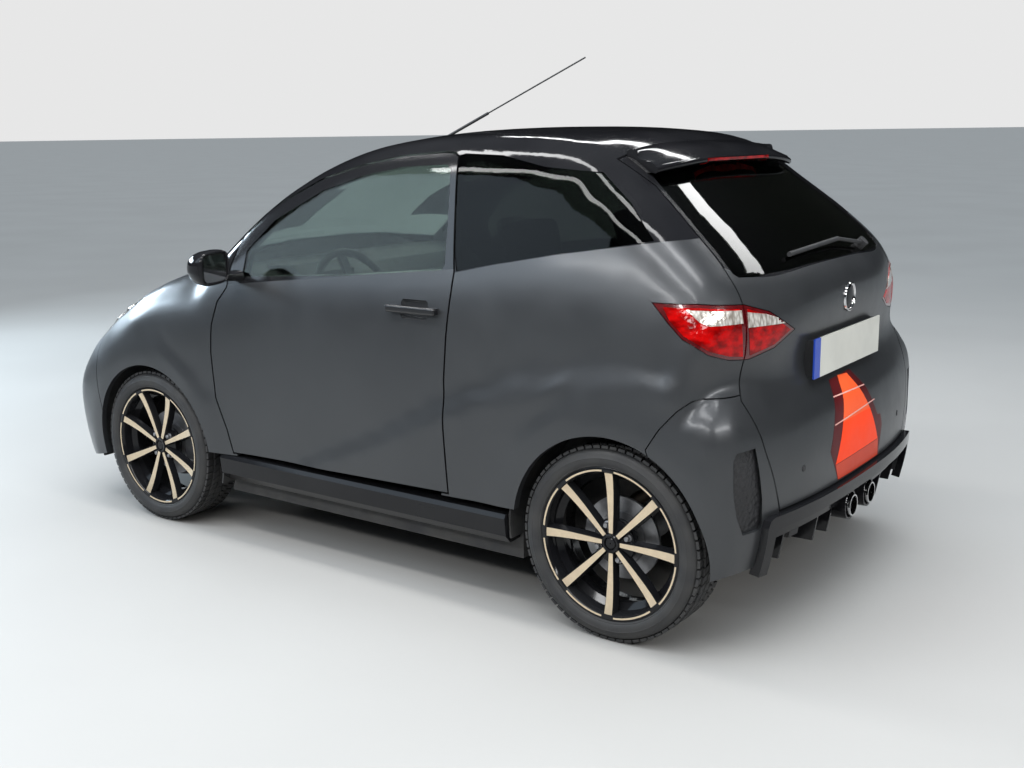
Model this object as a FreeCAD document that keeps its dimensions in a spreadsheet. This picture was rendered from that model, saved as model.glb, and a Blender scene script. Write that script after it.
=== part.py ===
import FreeCAD, Part
import Sketcher
import math, os
from FreeCAD import Vector

# Two-seat microcar, all sizes in millimetres.
# Row frame: x forward, y to the left, z up, ground at z = 0, origin under the
# middle of the outline. Every panel is cut from one body surface, so that the
# seams between neighbours follow each other.

doc = FreeCAD.newDocument("microcar")
sheet = doc.addObject("Spreadsheet::Sheet", "Sizes")

SIZES = [
    ("overall_length", 3000, "bumper to tail"),
    ("body_width", 1500, "without mirrors"),
    ("roof_height", 1392, "roof crown above the ground"),
    ("wheelbase", 1915, "axle to axle"),
    ("rear_overhang", 450, "rear axle to tail"),
    ("tyre_diameter", 555, "outside"),
    ("tyre_width", 165, "section"),
    ("rim_diameter", 434, "over the flanges"),
    ("wheel_offset", 652.5, "car middle to wheel middle"),
    ("arch_radius", 303, "wheel opening in the side"),
    ("liner_radius", 345, "inside of the wheelhouse"),
    ("liner_depth", 420, "car middle to inner wall of wheelhouse"),
    ("panel_thick", 20, "bonnet, wings, bumper"),
    ("side_thick", 25, "rear side and tailgate"),
    ("roof_thick", 30, "roof and pillars"),
    ("door_thick", 50, "whole door"),
    ("glass_thick", 5, "all panes"),
    ("glass_inset", 3, "pane below the outer surface"),
    ("moving_gap", 6, "between a moving panel and its frame"),
    ("floor_bottom", 150, "underside of the floor"),
    ("floor_thick", 20, "floor plate"),
    ("sill_height", 150, "sill box"),
    ("kingpin_offset", 600, "car middle to steering axis"),
    ("spoke_count", 8, "wheel spokes"),
    ("spoke_width", 21, "mean width of one spoke"),
    ("disc_diameter", 236, "brake disc"),
    ("seat_width", 450, "one seat"),
    ("seat_offset", 325, "car middle to seat middle"),
    ("steering_radius", 175, "steering wheel"),
    ("plate_width", 520, "number plate"),
    ("plate_height", 112, "number plate"),
    ("exhaust_radius", 32, "tail pipe outside"),
    ("antenna_length", 580, "mast"),
    ("hub_radius", 55, "wheel hub"),
    ("stub_radius", 15, "stub axle"),
    ("shaft_radius", 9, "steering shaft"),
    ("tow_bore", 14, "radius of the hole in the tow eye"),
    ("hinge_pin", 3.5, "hinge pin radius"),
    ("skirt_depth", 60, "side skirt"),
    ("engine_length", 430, "engine block"),
    ("engine_width", 560, "engine block"),
    ("engine_height", 380, "engine block"),
]
for row, (alias, value, note) in enumerate(SIZES, start=1):
    sheet.set("A%d" % row, note)
    sheet.set("B%d" % row, str(value))
    sheet.setAlias("B%d" % row, alias)
doc.recompute()


def size(alias):
    return float(sheet.get(alias))


LENGTH = size("overall_length")
HALF_LENGTH = LENGTH / 2
REAR_AXLE = size("rear_overhang") - HALF_LENGTH
FRONT_AXLE = REAR_AXLE + size("wheelbase")
AXLE_HEIGHT = size("tyre_diameter") / 2
LONG = LENGTH / 3000.0
TALL = size("roof_height") / 1392.0
WIDE = size("body_width") / 1500.0

# Outline of the body in the middle plane and at 600 mm beside it, from under
# the nose over the roof to under the tail, as (x, z).
MIDDLE_LINE = [
    (1440, 120), (1482, 190), (1498, 300), (1500, 420), (1488, 530), (1455, 630),
    (1395, 710), (1310, 770), (1200, 822), (1050, 872), (900, 918), (780, 955),
    (720, 978), (640, 1028), (560, 1078), (385, 1190), (200, 1285), (0, 1348),
    (-200, 1380), (-450, 1392), (-700, 1388), (-880, 1368), (-960, 1330),
    (-1030, 1278), (-1135, 1200), (-1260, 1108), (-1375, 1010), (-1415, 960),
    (-1427, 900), (-1418, 820), (-1402, 750), (-1412, 690), (-1450, 625),
    (-1474, 530), (-1479, 420), (-1474, 320), (-1452, 200),
]
RAIL_LINE = [
    (1330, 120), (1375, 190), (1400, 300), (1405, 420), (1385, 520), (1325, 610),
    (1242, 675), (1152, 735), (1058, 785), (975, 828), (850, 875), (720, 908),
    (640, 930), (590, 960), (500, 1032), (430, 1088), (290, 1180), (110, 1265),
    (-50, 1312), (-250, 1340), (-450, 1350), (-700, 1345), (-850, 1325),
    (-930, 1285), (-1000, 1235), (-1090, 1175), (-1191, 1103), (-1302, 1003),
    (-1345, 925), (-1358, 833), (-1352, 745), (-1385, 680), (-1415, 600),
    (-1426, 500), (-1424, 400), (-1414, 300), (-1392, 200),
]
BELT_LINE = [
    (-1500, 1125), (-1340, 1113), (-1190, 1103), (-950, 1070), (-530, 1000),
    (-100, 958), (360, 918), (700, 880), (1000, 835), (1250, 740), (1500, 600),
]
SCALLOP_LINE = [
    (-1500, 760), (-1050, 745), (-750, 690), (-500, 600), (-250, 470),
    (50, 350), (300, 250), (1500, 200),
]


def scaled(points):
    return [(x * LONG, z * TALL) for x, z in points]


def smooth_line(points, steps=12):
    line = []
    for i in range(len(points) - 1):
        before = points[max(i - 1, 0)]
        start, end = points[i], points[i + 1]
        after = points[min(i + 2, len(points) - 1)]
        for k in range(steps):
            t = k / steps
            line.append(tuple(
                0.5 * (2 * b + (c - a) * t + (2 * a - 5 * b + 4 * c - d) * t * t
                       + (3 * b - a - 3 * c + d) * t ** 3)
                for a, b, c, d in zip(before, start, end, after)))
    line.append(points[-1])
    return line


MIDDLE = smooth_line(scaled(MIDDLE_LINE))
RAIL = smooth_line(scaled(RAIL_LINE))
BELT = scaled(BELT_LINE)
SCALLOP = scaled(SCALLOP_LINE)


def height_at(line, x):
    if x <= line[0][0]:
        return line[0][1]
    for (x0, z0), (x1, z1) in zip(line, line[1:]):
        if x <= x1:
            return z0 + (z1 - z0) * (x - x0) / (x1 - x0)
    return line[-1][1]


def ease(low, high, value):
    t = min(1.0, max(0.0, (value - low) / (high - low)))
    return t * t * (3 - 2 * t)


def soft_least(a, b, radius):
    h = max(radius - abs(a - b), 0) / radius
    return min(a, b) - h * h * radius / 4


def soft_most(a, b, radius):
    h = max(radius - abs(a - b), 0) / radius
    return max(a, b) + h * h * radius / 4


def half_width(x, z):
    low = 744 - 0.0001 * (z - 600) ** 2
    scoop = ease(-42, 42, z - height_at(SCALLOP, x)) * (1 - ease(300, 700, x))
    low = low - 14 * scoop
    for axle in (FRONT_AXLE, REAR_AXLE):
        beside_wheel = math.hypot(x - axle, z - AXLE_HEIGHT)
        low = low + 7 * (1 - ease(355, 405, beside_wheel))
    low = low - 60 * max(0.0, (x - 1050) / 450) ** 2
    low = low - 55 * max(0.0, (x - 930) / 400) ** 2 * ease(430, 720, z)
    low = low - 45 * max(0.0, (-1150 - x) / 350) ** 2 * ease(640, 760, z)
    lean = 700 - math.tan(math.radians(21.5)) * (z - height_at(BELT, x))
    lean = lean - 60 * max(0.0, (-700 - x) / 600) ** 2
    lean = lean - 25 * max(0.0, (x - 700) / 700)
    return WIDE * soft_least(low, lean, 45.0)


def reach(line, base, way):
    far = 0.0
    for (x0, z0), (x1, z1) in zip(line, line[1:]):
        side0 = way[0] * (z0 - base[1]) - way[1] * (x0 - base[0])
        side1 = way[0] * (z1 - base[1]) - way[1] * (x1 - base[0])
        if side0 * side1 <= 0 and side0 != side1:
            t = side0 / (side0 - side1)
            x = x0 + (x1 - x0) * t - base[0]
            z = z0 + (z1 - z0) * t - base[1]
            far = max(far, x * way[0] + z * way[1])
    return far


def rib_stations():
    low = size("floor_bottom")
    drop = AXLE_HEIGHT - low
    stations = []
    for step in range(16):
        stations.append((FRONT_AXLE, AXLE_HEIGHT, math.radians(-13 + 6.44 * step)))
    for i in range(4):
        t = i / 4
        x = FRONT_AXLE - 305 * t
        stations.append((x, AXLE_HEIGHT - drop * ease(0, 1, t), math.pi / 2))
    first, last = FRONT_AXLE - 305, REAR_AXLE + 350
    for i in range(17):
        stations.append((first + (last - first) * i / 16, low, math.pi / 2))
    for i in range(1, 4):
        t = i / 4
        x = REAR_AXLE + 350 - 350 * t
        stations.append((x, low + drop * ease(0, 1, t), math.pi / 2))
    for i in range(17):
        stations.append((REAR_AXLE, AXLE_HEIGHT, math.radians(90 + 6.2 * i)))
    return stations


STATIONS = rib_stations()
SWEEP = [math.radians(8 + 82 * i / 30) for i in range(31)]


def rib(station, inset):
    x0, z0, angle = station
    way = (math.cos(angle), math.sin(angle))
    middle = reach(MIDDLE, (x0, z0), way)
    rail = reach(RAIL, (x0, z0), way)
    half = []
    for sweep in SWEEP:
        c, s = math.cos(sweep), math.sin(sweep)
        near, far = 0.0, 2000.0
        for _ in range(36):
            test = (near + far) / 2
            y, r = c * test, s * test
            beside = y - half_width(x0 + way[0] * r, z0 + way[1] * r) + inset
            crown = middle - (middle - rail) * (y / (600 * WIDE)) ** 2.6
            if soft_most(beside, r - crown + inset, 90.0) < 0:
                near = test
            else:
                far = test
        y, r = c * near, s * near
        half.append(Vector(x0 + way[0] * r, y, z0 + way[1] * r))
    other = [Vector(p.x, -p.y, p.z) for p in reversed(half[:-1])]
    return half + other


SKINS = {}


def skin(inset):
    if inset not in SKINS:
        surface = Part.BSplineSurface()
        surface.interpolate([rib(station, inset) for station in STATIONS])
        SKINS[inset] = surface
    return SKINS[inset].copy()


def left_part(surface):
    u0, u1, v0, v1 = surface.bounds()
    surface.segment(u0, u1, v0, surface.getVKnot(surface.NbVKnots // 2 + 3))
    return surface


def slab(outer_inset, inner_inset, left=False):
    # Solid between two skins; left keeps little more than the left half.
    outer, inner = skin(outer_inset), skin(inner_inset)
    if left:
        outer, inner = left_part(outer), left_part(inner)
    faces = [outer.toShape(), inner.toShape()]
    u0, u1, v0, v1 = outer.bounds()
    a0, a1, b0, b1 = inner.bounds()
    for one, two in ((outer.uIso(u0), inner.uIso(a0)), (outer.uIso(u1), inner.uIso(a1)),
                     (outer.vIso(v0), inner.vIso(b0)), (outer.vIso(v1), inner.vIso(b1))):
        faces.append(Part.makeRuledSurface(one.toShape(), two.toShape()))
    shell = Part.makeShell(faces)
    shell.sewShape()
    solid = Part.Solid(shell)
    if solid.Volume < 0:
        solid.reverse()
    return solid


def plate(points, plane, start, way):
    # A flat polygon, given in the plane "xz", "yz" or "xy" at the given start,
    # drawn out along the vector way.
    if plane == "xz":
        corners = [Vector(a, start, b) for a, b in points]
    elif plane == "yz":
        corners = [Vector(start, a, b) for a, b in points]
    else:
        corners = [Vector(a, b, start) for a, b in points]
    corners.append(corners[0])
    return Part.Face(Part.makePolygon(corners)).extrude(way)


def grown(points, distance):
    # Offsets a closed polygon; a negative distance makes it smaller.
    area = sum(a[0] * b[1] - b[0] * a[1] for a, b in zip(points, points[1:] + points[:1]))
    turn = 1.0 if area > 0 else -1.0
    result = []
    count = len(points)
    for i in range(count):
        a, b, c = points[i - 1], points[i], points[(i + 1) % count]
        ux, uz = b[0] - a[0], b[1] - a[1]
        vx, vz = c[0] - b[0], c[1] - b[1]
        lu, lv = math.hypot(ux, uz), math.hypot(vx, vz)
        nx0, nz0 = turn * uz / lu, -turn * ux / lu
        nx1, nz1 = turn * vz / lv, -turn * vx / lv
        dot = 1 + nx0 * nx1 + nz0 * nz1
        result.append((b[0] + distance * (nx0 + nx1) / dot,
                       b[1] + distance * (nz0 + nz1) / dot))
    return result


MOVING_GAP = size("moving_gap")
OUTER = 300.0
SLANT = 0.2


def side_prism(points, slant=0.0):
    # Polygon in side view, true at y = 744, from y = 300 outwards.
    shifted = [(x * LONG + slant * (744 - OUTER), z * TALL) for x, z in points]
    return plate(shifted, "xz", OUTER, Vector(-slant * 560, 560, 0))


def mirrored(shape):
    return shape.mirror(Vector(0, 0, 0), Vector(0, 1, 0))


def cylinder_y(x, z, radius, y0, y1):
    return Part.makeCylinder(radius, y1 - y0, Vector(x, y0, z), Vector(0, 1, 0))


def block(x0, x1, y0, y1, z0, z1):
    return Part.makeBox(x1 - x0, y1 - y0, z1 - z0, Vector(x0, y0, z0))


NODES = []


def main_solids(shape, share=0.02):
    # Leaves out crumbs that a cut can leave beside the real piece.
    largest = max(solid.Volume for solid in shape.Solids)
    return [solid for solid in shape.Solids if solid.Volume > share * largest]


def feature(name, shape):
    item = doc.addObject("Part::Feature", name)
    item.Label = name
    solids = main_solids(shape)
    item.Shape = solids[0] if len(solids) == 1 else Part.makeCompound(solids)
    NODES.append(item)
    return item


PANEL = slab(0, size("panel_thick"))
SIDE = slab(0, size("side_thick"))
ROOF = slab(0, size("roof_thick"))
PANE = slab(size("glass_inset"), size("glass_inset") + size("glass_thick"))
OUTSIDE = slab(-140, size("roof_thick") + 0.3)
LEFT_PANEL = slab(0, size("panel_thick"), True)
LEFT_SIDE = slab(0, size("side_thick"), True)
LEFT_DOOR = slab(0, size("door_thick"), True)
LEFT_PANE = slab(size("glass_inset"), size("glass_inset") + size("glass_thick"), True)

SKIRT_TOP = [(560, 303), (-790, 331)]
DOOR_LINE = [
    (445, 311), (469, 396), (510, 504), (519, 660), (512, 756), (488, 835),
    (449, 884), (441, 960), (409, 1065), (303, 1147), (80, 1243), (-94, 1287),
    (-258, 1315), (-420, 1326), (-463, 1323), (-481, 1312), (-496, 1200),
    (-518, 1065), (-530, 988), (-524, 923), (-510, 800), (-500, 675),
    (-501, 533), (-511, 331),
]
DOOR_WINDOW = [
    (377, 921), (372, 1005), (262, 1107), (62, 1204), (-105, 1252), (-270, 1279),
    (-440, 1287), (-458, 1275), (-470, 1183), (-482, 1097), (-490, 1006),
    (-480, 990), (-88, 952),
]
BELT_CUT = [
    (715, 1600), (715, 925), (560, 905), (455, 900), (-518, 986), (-650, 1014),
    (-860, 1052), (-1060, 1082), (-1160, 1096), (-1290, 1104), (-1600, 1104),
    (-1600, 1600),
]
QUARTER = [
    (-534, 990), (-514, 1065), (-482, 1200), (-457, 1306), (-500, 1319), (-642, 1314),
    (-797, 1283), (-977, 1269), (-1075, 1190), (-1160, 1098), (-1060, 1082),
    (-860, 1052), (-650, 1014),
]
FENDER_LINE = [
    (430, 306), (560, 303), (900, 200), (1130, 200), (1150, 400), (1185, 560),
    (1215, 640), (1250, 700), (1250, 960), (715, 1000), (715, 925), (560, 905),
    (430, 902),
]
BUMPER_LINE = [
    (1130, 165), (1130, 200), (1150, 400), (1185, 560), (1215, 640), (1250, 700),
    (1250, 900), (1600, 900), (1600, 165),
]
BONNET_LINE = [
    (722, 610), (900, 600), (1100, 565), (1270, 490), (1365, 380), (1400, 240),
    (1408, 0),
]
HEADLAMP_LINE = [
    (925, 812), (1100, 722), (1240, 640), (1345, 590), (1400, 600), (1385, 650),
    (1330, 705), (1200, 762), (1060, 797),
]
SIDE_LINE = [
    (-480, 325), (-790, 331), (-900, 331), (-1200, 500), (-1176, 569), (-1213, 628),
    (-1260, 680), (-1292, 706), (-1311, 712), (-1500, 705), (-1600, 1104),
    (-1290, 1104), (-1160, 1096), (-1060, 1082), (-860, 1052), (-650, 1014),
    (-480, 984),
]
CORNER_LINE = [
    (-1100, 205), (-1100, 520), (-1176, 569), (-1213, 628), (-1260, 680),
    (-1292, 706), (-1311, 712), (-1500, 705), (-1600, 705), (-1600, 250),
    (-1380, 240), (-1250, 205),
]
# Tailgate outline seen along its opening direction: u = x + z, then y.
TAILGATE_LINE = [
    (600, 500), (390, 500), (180, 475), (-77, 527), (-160, 538), (-309, 556),
    (-422, 557), (-557, 562), (-681, 602), (-866, 562), (-1066, 492), (-1300, 470),
]
REAR_WINDOW = [
    (260, 440), (180, 458), (-77, 512), (-160, 523), (-250, 536), (-300, 538),
    (-322, 526), (-342, 470), (-365, 300), (-372, 0),
]
LAMP_LINE = [
    (-464, 946), (-600, 947), (-798, 935), (-921, 908), (-1055, 849), (-950, 812),
    (-813, 795), (-720, 803), (-632, 823), (-545, 862), (-505, 900),
]
VENT_LINE = [
    (-708, 560), (-722, 576), (-812, 576), (-830, 519), (-850, 435), (-853, 362),
    (-842, 350), (-762, 350), (-728, 404), (-712, 459), (-704, 520),
]
TAILGATE_TOP = -945.0 * LONG
TAILGATE_BOTTOM = 386.0 * TALL


def two_sided(points):
    return points + [(x, -y) for x, y in reversed(points) if y > 0]


def tailgate_prism(points):
    # The polygon lies in the plane z = 0 at x = u and is drawn out along
    # (-1, 0, 1), so that x + z stays the same.
    scaled_points = [(u * TALL, y * WIDE) for u, y in points]
    return plate(scaled_points, "xy", 0, Vector(-1700, 0, 1700))


def bonnet_prism(points):
    wide = [(x * LONG, y * WIDE) for x, y in points]
    return plate(wide, "xy", 640 * TALL, Vector(0, 0, 500 * TALL))


def lamp_prism(line):
    points = [(w * LONG, z * TALL) for w, z in line]
    return plate(points, "xz", 0, Vector(-900, 900, 0))


door_hole = side_prism(DOOR_LINE, SLANT)
door_body = side_prism(grown(DOOR_LINE, -MOVING_GAP), SLANT)
window_hole = side_prism(DOOR_WINDOW, SLANT)
quarter_hole = side_prism(QUARTER, SLANT)
bonnet_full = two_sided(BONNET_LINE)
bonnet_body = bonnet_prism(bonnet_full)
bonnet_hole = bonnet_prism(grown(bonnet_full, MOVING_GAP))
tailgate_full = two_sided(TAILGATE_LINE)
behind_roof = block(-1700, TAILGATE_TOP, -700, 700, TAILGATE_BOTTOM, 1600)
behind_gap = block(-1700, TAILGATE_TOP + MOVING_GAP, -700, 700,
                   TAILGATE_BOTTOM - MOVING_GAP, 1600)
tailgate_body = tailgate_prism(tailgate_full).common(behind_roof)
tailgate_hole = tailgate_prism(two_sided(
    [(u, y + MOVING_GAP) for u, y in TAILGATE_LINE])).common(behind_gap)
arch_front = cylinder_y(FRONT_AXLE, AXLE_HEIGHT, size("arch_radius"), 300, 900)
arch_rear = cylinder_y(REAR_AXLE, AXLE_HEIGHT + 4, size("arch_radius"), 300, 900)
headlamp_hole = side_prism(HEADLAMP_LINE)
above_belt = side_prism(BELT_CUT)
side_full = side_prism(SIDE_LINE)
taillamp_hole = lamp_prism(LAMP_LINE)
GROOVE = slab(-140, 12, True)
side_seam = GROOVE.common(side_prism(grown(SIDE_LINE, 3.5)))
wing_seam = GROOVE.common(side_prism(grown(FENDER_LINE, 3.5)))
lamp_seam = GROOVE.common(lamp_prism(grown(LAMP_LINE, 2.5)))
vent = GROOVE.common(lamp_prism(VENT_LINE))

handle_x, handle_z = -381.0 * LONG, 873.0 * TALL
grip = block(handle_x - 95, handle_x + 95, 726, 746, handle_z - 11, handle_z + 11)
grip = grip.makeFillet(7, grip.Edges)
cup = block(handle_x - 52, handle_x + 52, 706, 790, handle_z - 30, handle_z + 28)
cup = cup.makeFillet(12, cup.Edges)
feet = [block(handle_x + x - 13, handle_x + x + 13, 690, 738, handle_z - 9, handle_z + 9)
        for x in (-80, 80)]
# Behind its outer skin the door ends further back, to pass the edge of the
# wing when it swings.
step_line = [(x - 20, z) for x, z in DOOR_LINE[:7]]
step_line = [(425, 290)] + step_line + [(640, 884), (640, 290)]
step = slab(6, 150, True).common(side_prism(step_line, SLANT))
door_left = LEFT_DOOR.common(door_body).cut([window_hole, cup, step]).fuse([grip] + feet)
door_glass_left = LEFT_PANE.common(window_hole)
side_left = LEFT_SIDE.common(side_full).cut(
    [door_hole, arch_rear, tailgate_hole, taillamp_hole, lamp_seam, above_belt])
quarter_left = LEFT_PANE.common(quarter_hole).cut([door_hole, side_full])
fender_left = LEFT_PANEL.common(side_prism(FENDER_LINE)).cut(
    [door_hole, arch_front, bonnet_hole, headlamp_hole, above_belt])
headlamp_left = LEFT_PANEL.common(headlamp_hole).cut(bonnet_hole)
corner_left = LEFT_SIDE.common(side_prism(CORNER_LINE)).cut(
    [arch_rear, tailgate_hole, side_full, side_seam, vent])
lamp_full = LEFT_SIDE.common(taillamp_hole)
lamp_side_left = lamp_full.cut(tailgate_hole)
lamp_gate_left = lamp_full.common(tailgate_body)

bonnet = PANEL.common(bonnet_body)
BEHIND_SIDE = slab(-140, size("side_thick") + 0.3, True)
BEHIND_PANEL = slab(-140, size("panel_thick") + 0.3, True)


def both(shape):
    return [shape, mirrored(shape)]


def pair(name, shape):
    feature(name + "_left", shape)
    feature(name + "_right", mirrored(shape))


# Front end.
bumper_prism = side_prism(BUMPER_LINE)
nose_block = plate([(x * LONG, z * TALL) for x, z in BUMPER_LINE], "xz", -800,
                   Vector(0, 1600, 0))
grille_hole = plate([(-340, 236), (340, 236), (310, 345), (-310, 345)], "yz", 1300,
                    Vector(300, 0, 0))
bumper = PANEL.common(nose_block).cut(
    both(arch_front) + [bonnet_hole, grille_hole] + both(headlamp_hole) + both(wing_seam))
grille = slab(10, size("panel_thick")).common(grille_hole)
grille_slots = []
for row in range(4):
    z = 249 + 23 * row
    grille_slots.append(block(1300, 1600, -295, 295, z, z + 13))
grille = grille.cut(grille_slots)

# Greenhouse frame, windscreen and rear end.
WINDSCREEN_LINE = [
    (698, 0), (690, 250), (664, 450), (612, 582), (330, 540), (150, 498), (132, 440),
    (122, 250), (120, 0),
]
screen_points = [(x * LONG, y * WIDE) for x, y in two_sided(WINDSCREEN_LINE)]
screen_hole = plate(screen_points, "xy", 850, Vector(0, 0, 600))
roof_block = plate([(x * LONG, z * TALL) for x, z in BELT_CUT], "xz", -800,
                   Vector(0, 1600, 0))
roof = ROOF.common(roof_block).cut(
    [screen_hole, tailgate_hole, bonnet_hole] + both(door_hole) + both(quarter_hole))
windscreen = PANE.common(screen_hole)

rear_window = tailgate_prism(two_sided(REAR_WINDOW)).common(behind_roof)
gate_panel = SIDE.common(tailgate_body).cut(
    [rear_window] + both(taillamp_hole) + both(lamp_seam))
gate_glass = PANE.common(rear_window)

# Rear apron: a gloss strip under the tailgate with a leg at each corner, a
# panel behind it, collars round the tail pipes, and plates that hang down.
APRON_TOP = TAILGATE_BOTTOM - 6
APRON_HALF = 537 * WIDE
strip_line = [(0, APRON_TOP), (550, APRON_TOP), (565, APRON_TOP - 7), (573, APRON_TOP - 26),
              (576, 196), (541, 196), (537, APRON_TOP - 54), (524, APRON_TOP - 38),
              (0, APRON_TOP - 36)]
strip_line = [(y * WIDE, z) for y, z in strip_line]
strip_line += [(-y, z) for y, z in reversed(strip_line) if y > 0]
strip = slab(-22, 6).common(plate(strip_line, "yz", -1700, Vector(450, 0, 0)))
apron_block = block(-1600, -1250, -APRON_HALF, APRON_HALF, 190, APRON_TOP)
corner_left = corner_left.cut([apron_block, strip])
panel = slab(6, size("side_thick")).common(
    block(-1600, -1250, -APRON_HALF, APRON_HALF, APRON_TOP - 76, APRON_TOP))
TIP_Y, TIP_Z = 75.0, 295.0
collars, pipe_ways, plates = [], [], []
for y in (TIP_Y, -TIP_Y):
    start = Vector(-1486, y, TIP_Z)
    collars.append(Part.makeCylinder(size("exhaust_radius") + 12, 60, start, Vector(1, 0, 0)))
    pipe_ways.append(Part.makeCylinder(size("exhaust_radius") + 6, 300,
                                       start - Vector(100, 0, 0), Vector(1, 0, 0)))
for y in (165, 260, 355, 450):
    plates.append(block(-1600, -1350, y - 3.5, y + 3.5, 232, APRON_TOP - 30))
    plates.append(block(-1600, -1350, -y - 3.5, 3.5 - y, 232, APRON_TOP - 30))
plates = slab(6, 85).common(Part.makeCompound(plates)).cut(
    both(block(-1480, -1330, 328, 382, 268, 332)))
diffuser = strip.fuse([panel] + plates.Solids + collars).cut(pipe_ways)


def curve_through(points):
    curve = Part.BSplineCurve()
    curve.interpolate(points)
    return curve.toShape()


def spoiler_section(y, drop, back):
    upper = [(-945.6, 1347), (-975, 1342), (-1005, 1333), (-1038, 1319), (-1062, 1306)]
    edge = [(-1062, 1306), (-1070, 1299), (-1070, 1292), (-1061, 1286)]
    under = [(-1061, 1286), (-1030, 1283), (-990, 1273), (-945.6, 1262)]
    runs = []
    for run in (upper, edge, under):
        runs.append([Vector((x + back * (x < -1000)) * LONG, y, z * TALL - drop) for x, z in run])
    edges = [curve_through(run) for run in runs]
    edges.append(Part.makeLine(runs[2][-1], runs[0][0]))
    return Part.Wire(edges)


sections = []
for y in (-456, -430, -380, -250, 0, 250, 380, 430, 456):
    share = abs(y) / 600.0
    back = 26 * (share * 1.33) ** 5
    sections.append(spoiler_section(y * WIDE, 50 * share ** 2.6, back))
spoiler = Part.makeLoft(sections, True, False).cut(ROOF)
spoiler = max(spoiler.Solids, key=lambda solid: solid.BoundBox.ZMax)
spoiler = max([spoiler], key=lambda solid: solid.Volume)

# Body structure behind the panels.
FLOOR_LOW = size("floor_bottom")
FLOOR_TOP = FLOOR_LOW + size("floor_thick")
BOOT_LOW, BOOT_TOP = 400.0, 420.0
RISER = -720.0 * LONG
LINER = size("liner_radius")
DEPTH = size("liner_depth")
REAR_LINER = size("tyre_diameter") / 2 + 55
REAR_DEPTH = size("wheel_offset") - size("tyre_width") / 2 - 46


def wheelhouse(x, inner_radius, depth, low):
    z = AXLE_HEIGHT
    ring = cylinder_y(x, z, inner_radius + 6, depth, 716).cut(
        cylinder_y(x, z, inner_radius, depth + 6, 800))
    ring = ring.common(block(x - 400, x + 400, 0, 800, low, 900))
    return ring.cut(block(x - 90, x + 90, 300, depth + 8, 100, AXLE_HEIGHT + 165))


front_house = wheelhouse(FRONT_AXLE, LINER, DEPTH - 6, 190).cut(BEHIND_PANEL)
rear_house = wheelhouse(REAR_AXLE, REAR_LINER, REAR_DEPTH - 6, 230).cut(BEHIND_SIDE)
front_house = max(front_house.Solids, key=lambda solid: solid.Volume)
rear_house = max(rear_house.Solids, key=lambda solid: solid.Volume)

cabin_floor = block(RISER, 670, -655, 655, FLOOR_LOW, FLOOR_TOP)
riser = block(RISER, RISER + 20, -640, 640, FLOOR_LOW, BOOT_TOP)
boot_floor = block(-1365, RISER + 20, -REAR_DEPTH + 3, REAR_DEPTH - 3, BOOT_LOW, BOOT_TOP)
firewall = block(650, 670, -760, 760, FLOOR_LOW + 120, 1100).cut(OUTSIDE)
firewall = max(firewall.Solids, key=lambda solid: solid.Volume)
firewall = firewall.fuse(block(650, 670, -655, 655, FLOOR_LOW, FLOOR_LOW + 125))
post = block(592, 652, 660, 706, 515, 760).cut(BEHIND_PANEL)
left_pieces = [
    block(RISER, 650, 600, 655, FLOOR_LOW, size("sill_height") + FLOOR_LOW),
    block(660, 1480, 340, 375, 240, 300).cut(BEHIND_PANEL),
    block(-1480, -1330, 330, 380, 270, 330).cut(BEHIND_SIDE),
    block(-1362, -1330, 330, 380, 300, BOOT_TOP),
    post,
    block(780, 950, 370, DEPTH - 3, 480, 500),
    block(780, 950, 345, 375, 290, 500),
]
pieces = [cabin_floor, riser, boot_floor, firewall] + left_pieces
pieces += [mirrored(piece) for piece in left_pieces]
floor_pan = pieces[0].multiFuse(pieces[1:])
wheel_cut = []
for x, radius, depth in ((FRONT_AXLE, LINER, DEPTH), (REAR_AXLE, REAR_LINER, REAR_DEPTH)):
    wheel_cut += both(cylinder_y(x, AXLE_HEIGHT, radius, depth, 800))
floor_pan = floor_pan.cut(wheel_cut + both(front_house) + both(rear_house))

# Tow eye: a tongue under the rear rail, on the left, with an upright hole.
EYE_BORE = size("tow_bore")
eye_point = Vector(-1345, 307, 258)
tow_eye = Part.makeCylinder(EYE_BORE * 2, 12, eye_point).fuse(
    block(-1361, -1329, 307, 380, 258, 270))
tow_eye = tow_eye.cut(Part.makeCylinder(EYE_BORE, 12, eye_point)).removeSplitter()

dash_line = [(350, 640), (345, 780), (365, 855), (440, 905), (560, 925), (649.7, 930),
             (649.7, 600), (480, 560)]
dashboard = plate(dash_line, "xz", -600, Vector(0, 1200, 0))
cluster = plate([(340, 800), (350, 905), (400, 935), (520, 930), (520, 860)], "xz",
                size("seat_offset") - 130, Vector(0, 260, 0))
WHEEL_X, WHEEL_Z = 215.0, 815.0
TILT = math.radians(25)
axis_dir = Vector(-math.cos(TILT), 0, math.sin(TILT))
hub_point = Vector(WHEEL_X, size("seat_offset"), WHEEL_Z)
column = Part.makeCylinder(24, 330, hub_point - axis_dir * 31, axis_dir * -1)
shaft_bore = Part.makeCylinder(size("shaft_radius") + 0.05, 90, hub_point, axis_dir * -1)
dashboard = dashboard.fuse([cluster, column]).removeSplitter().cut([shaft_bore, OUTSIDE])
dashboard = max(dashboard.Solids, key=lambda solid: solid.Volume)

# Hinges: a pin with two ears on the fixed piece and an eye on the moving one.
PIN = size("hinge_pin")


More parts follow.
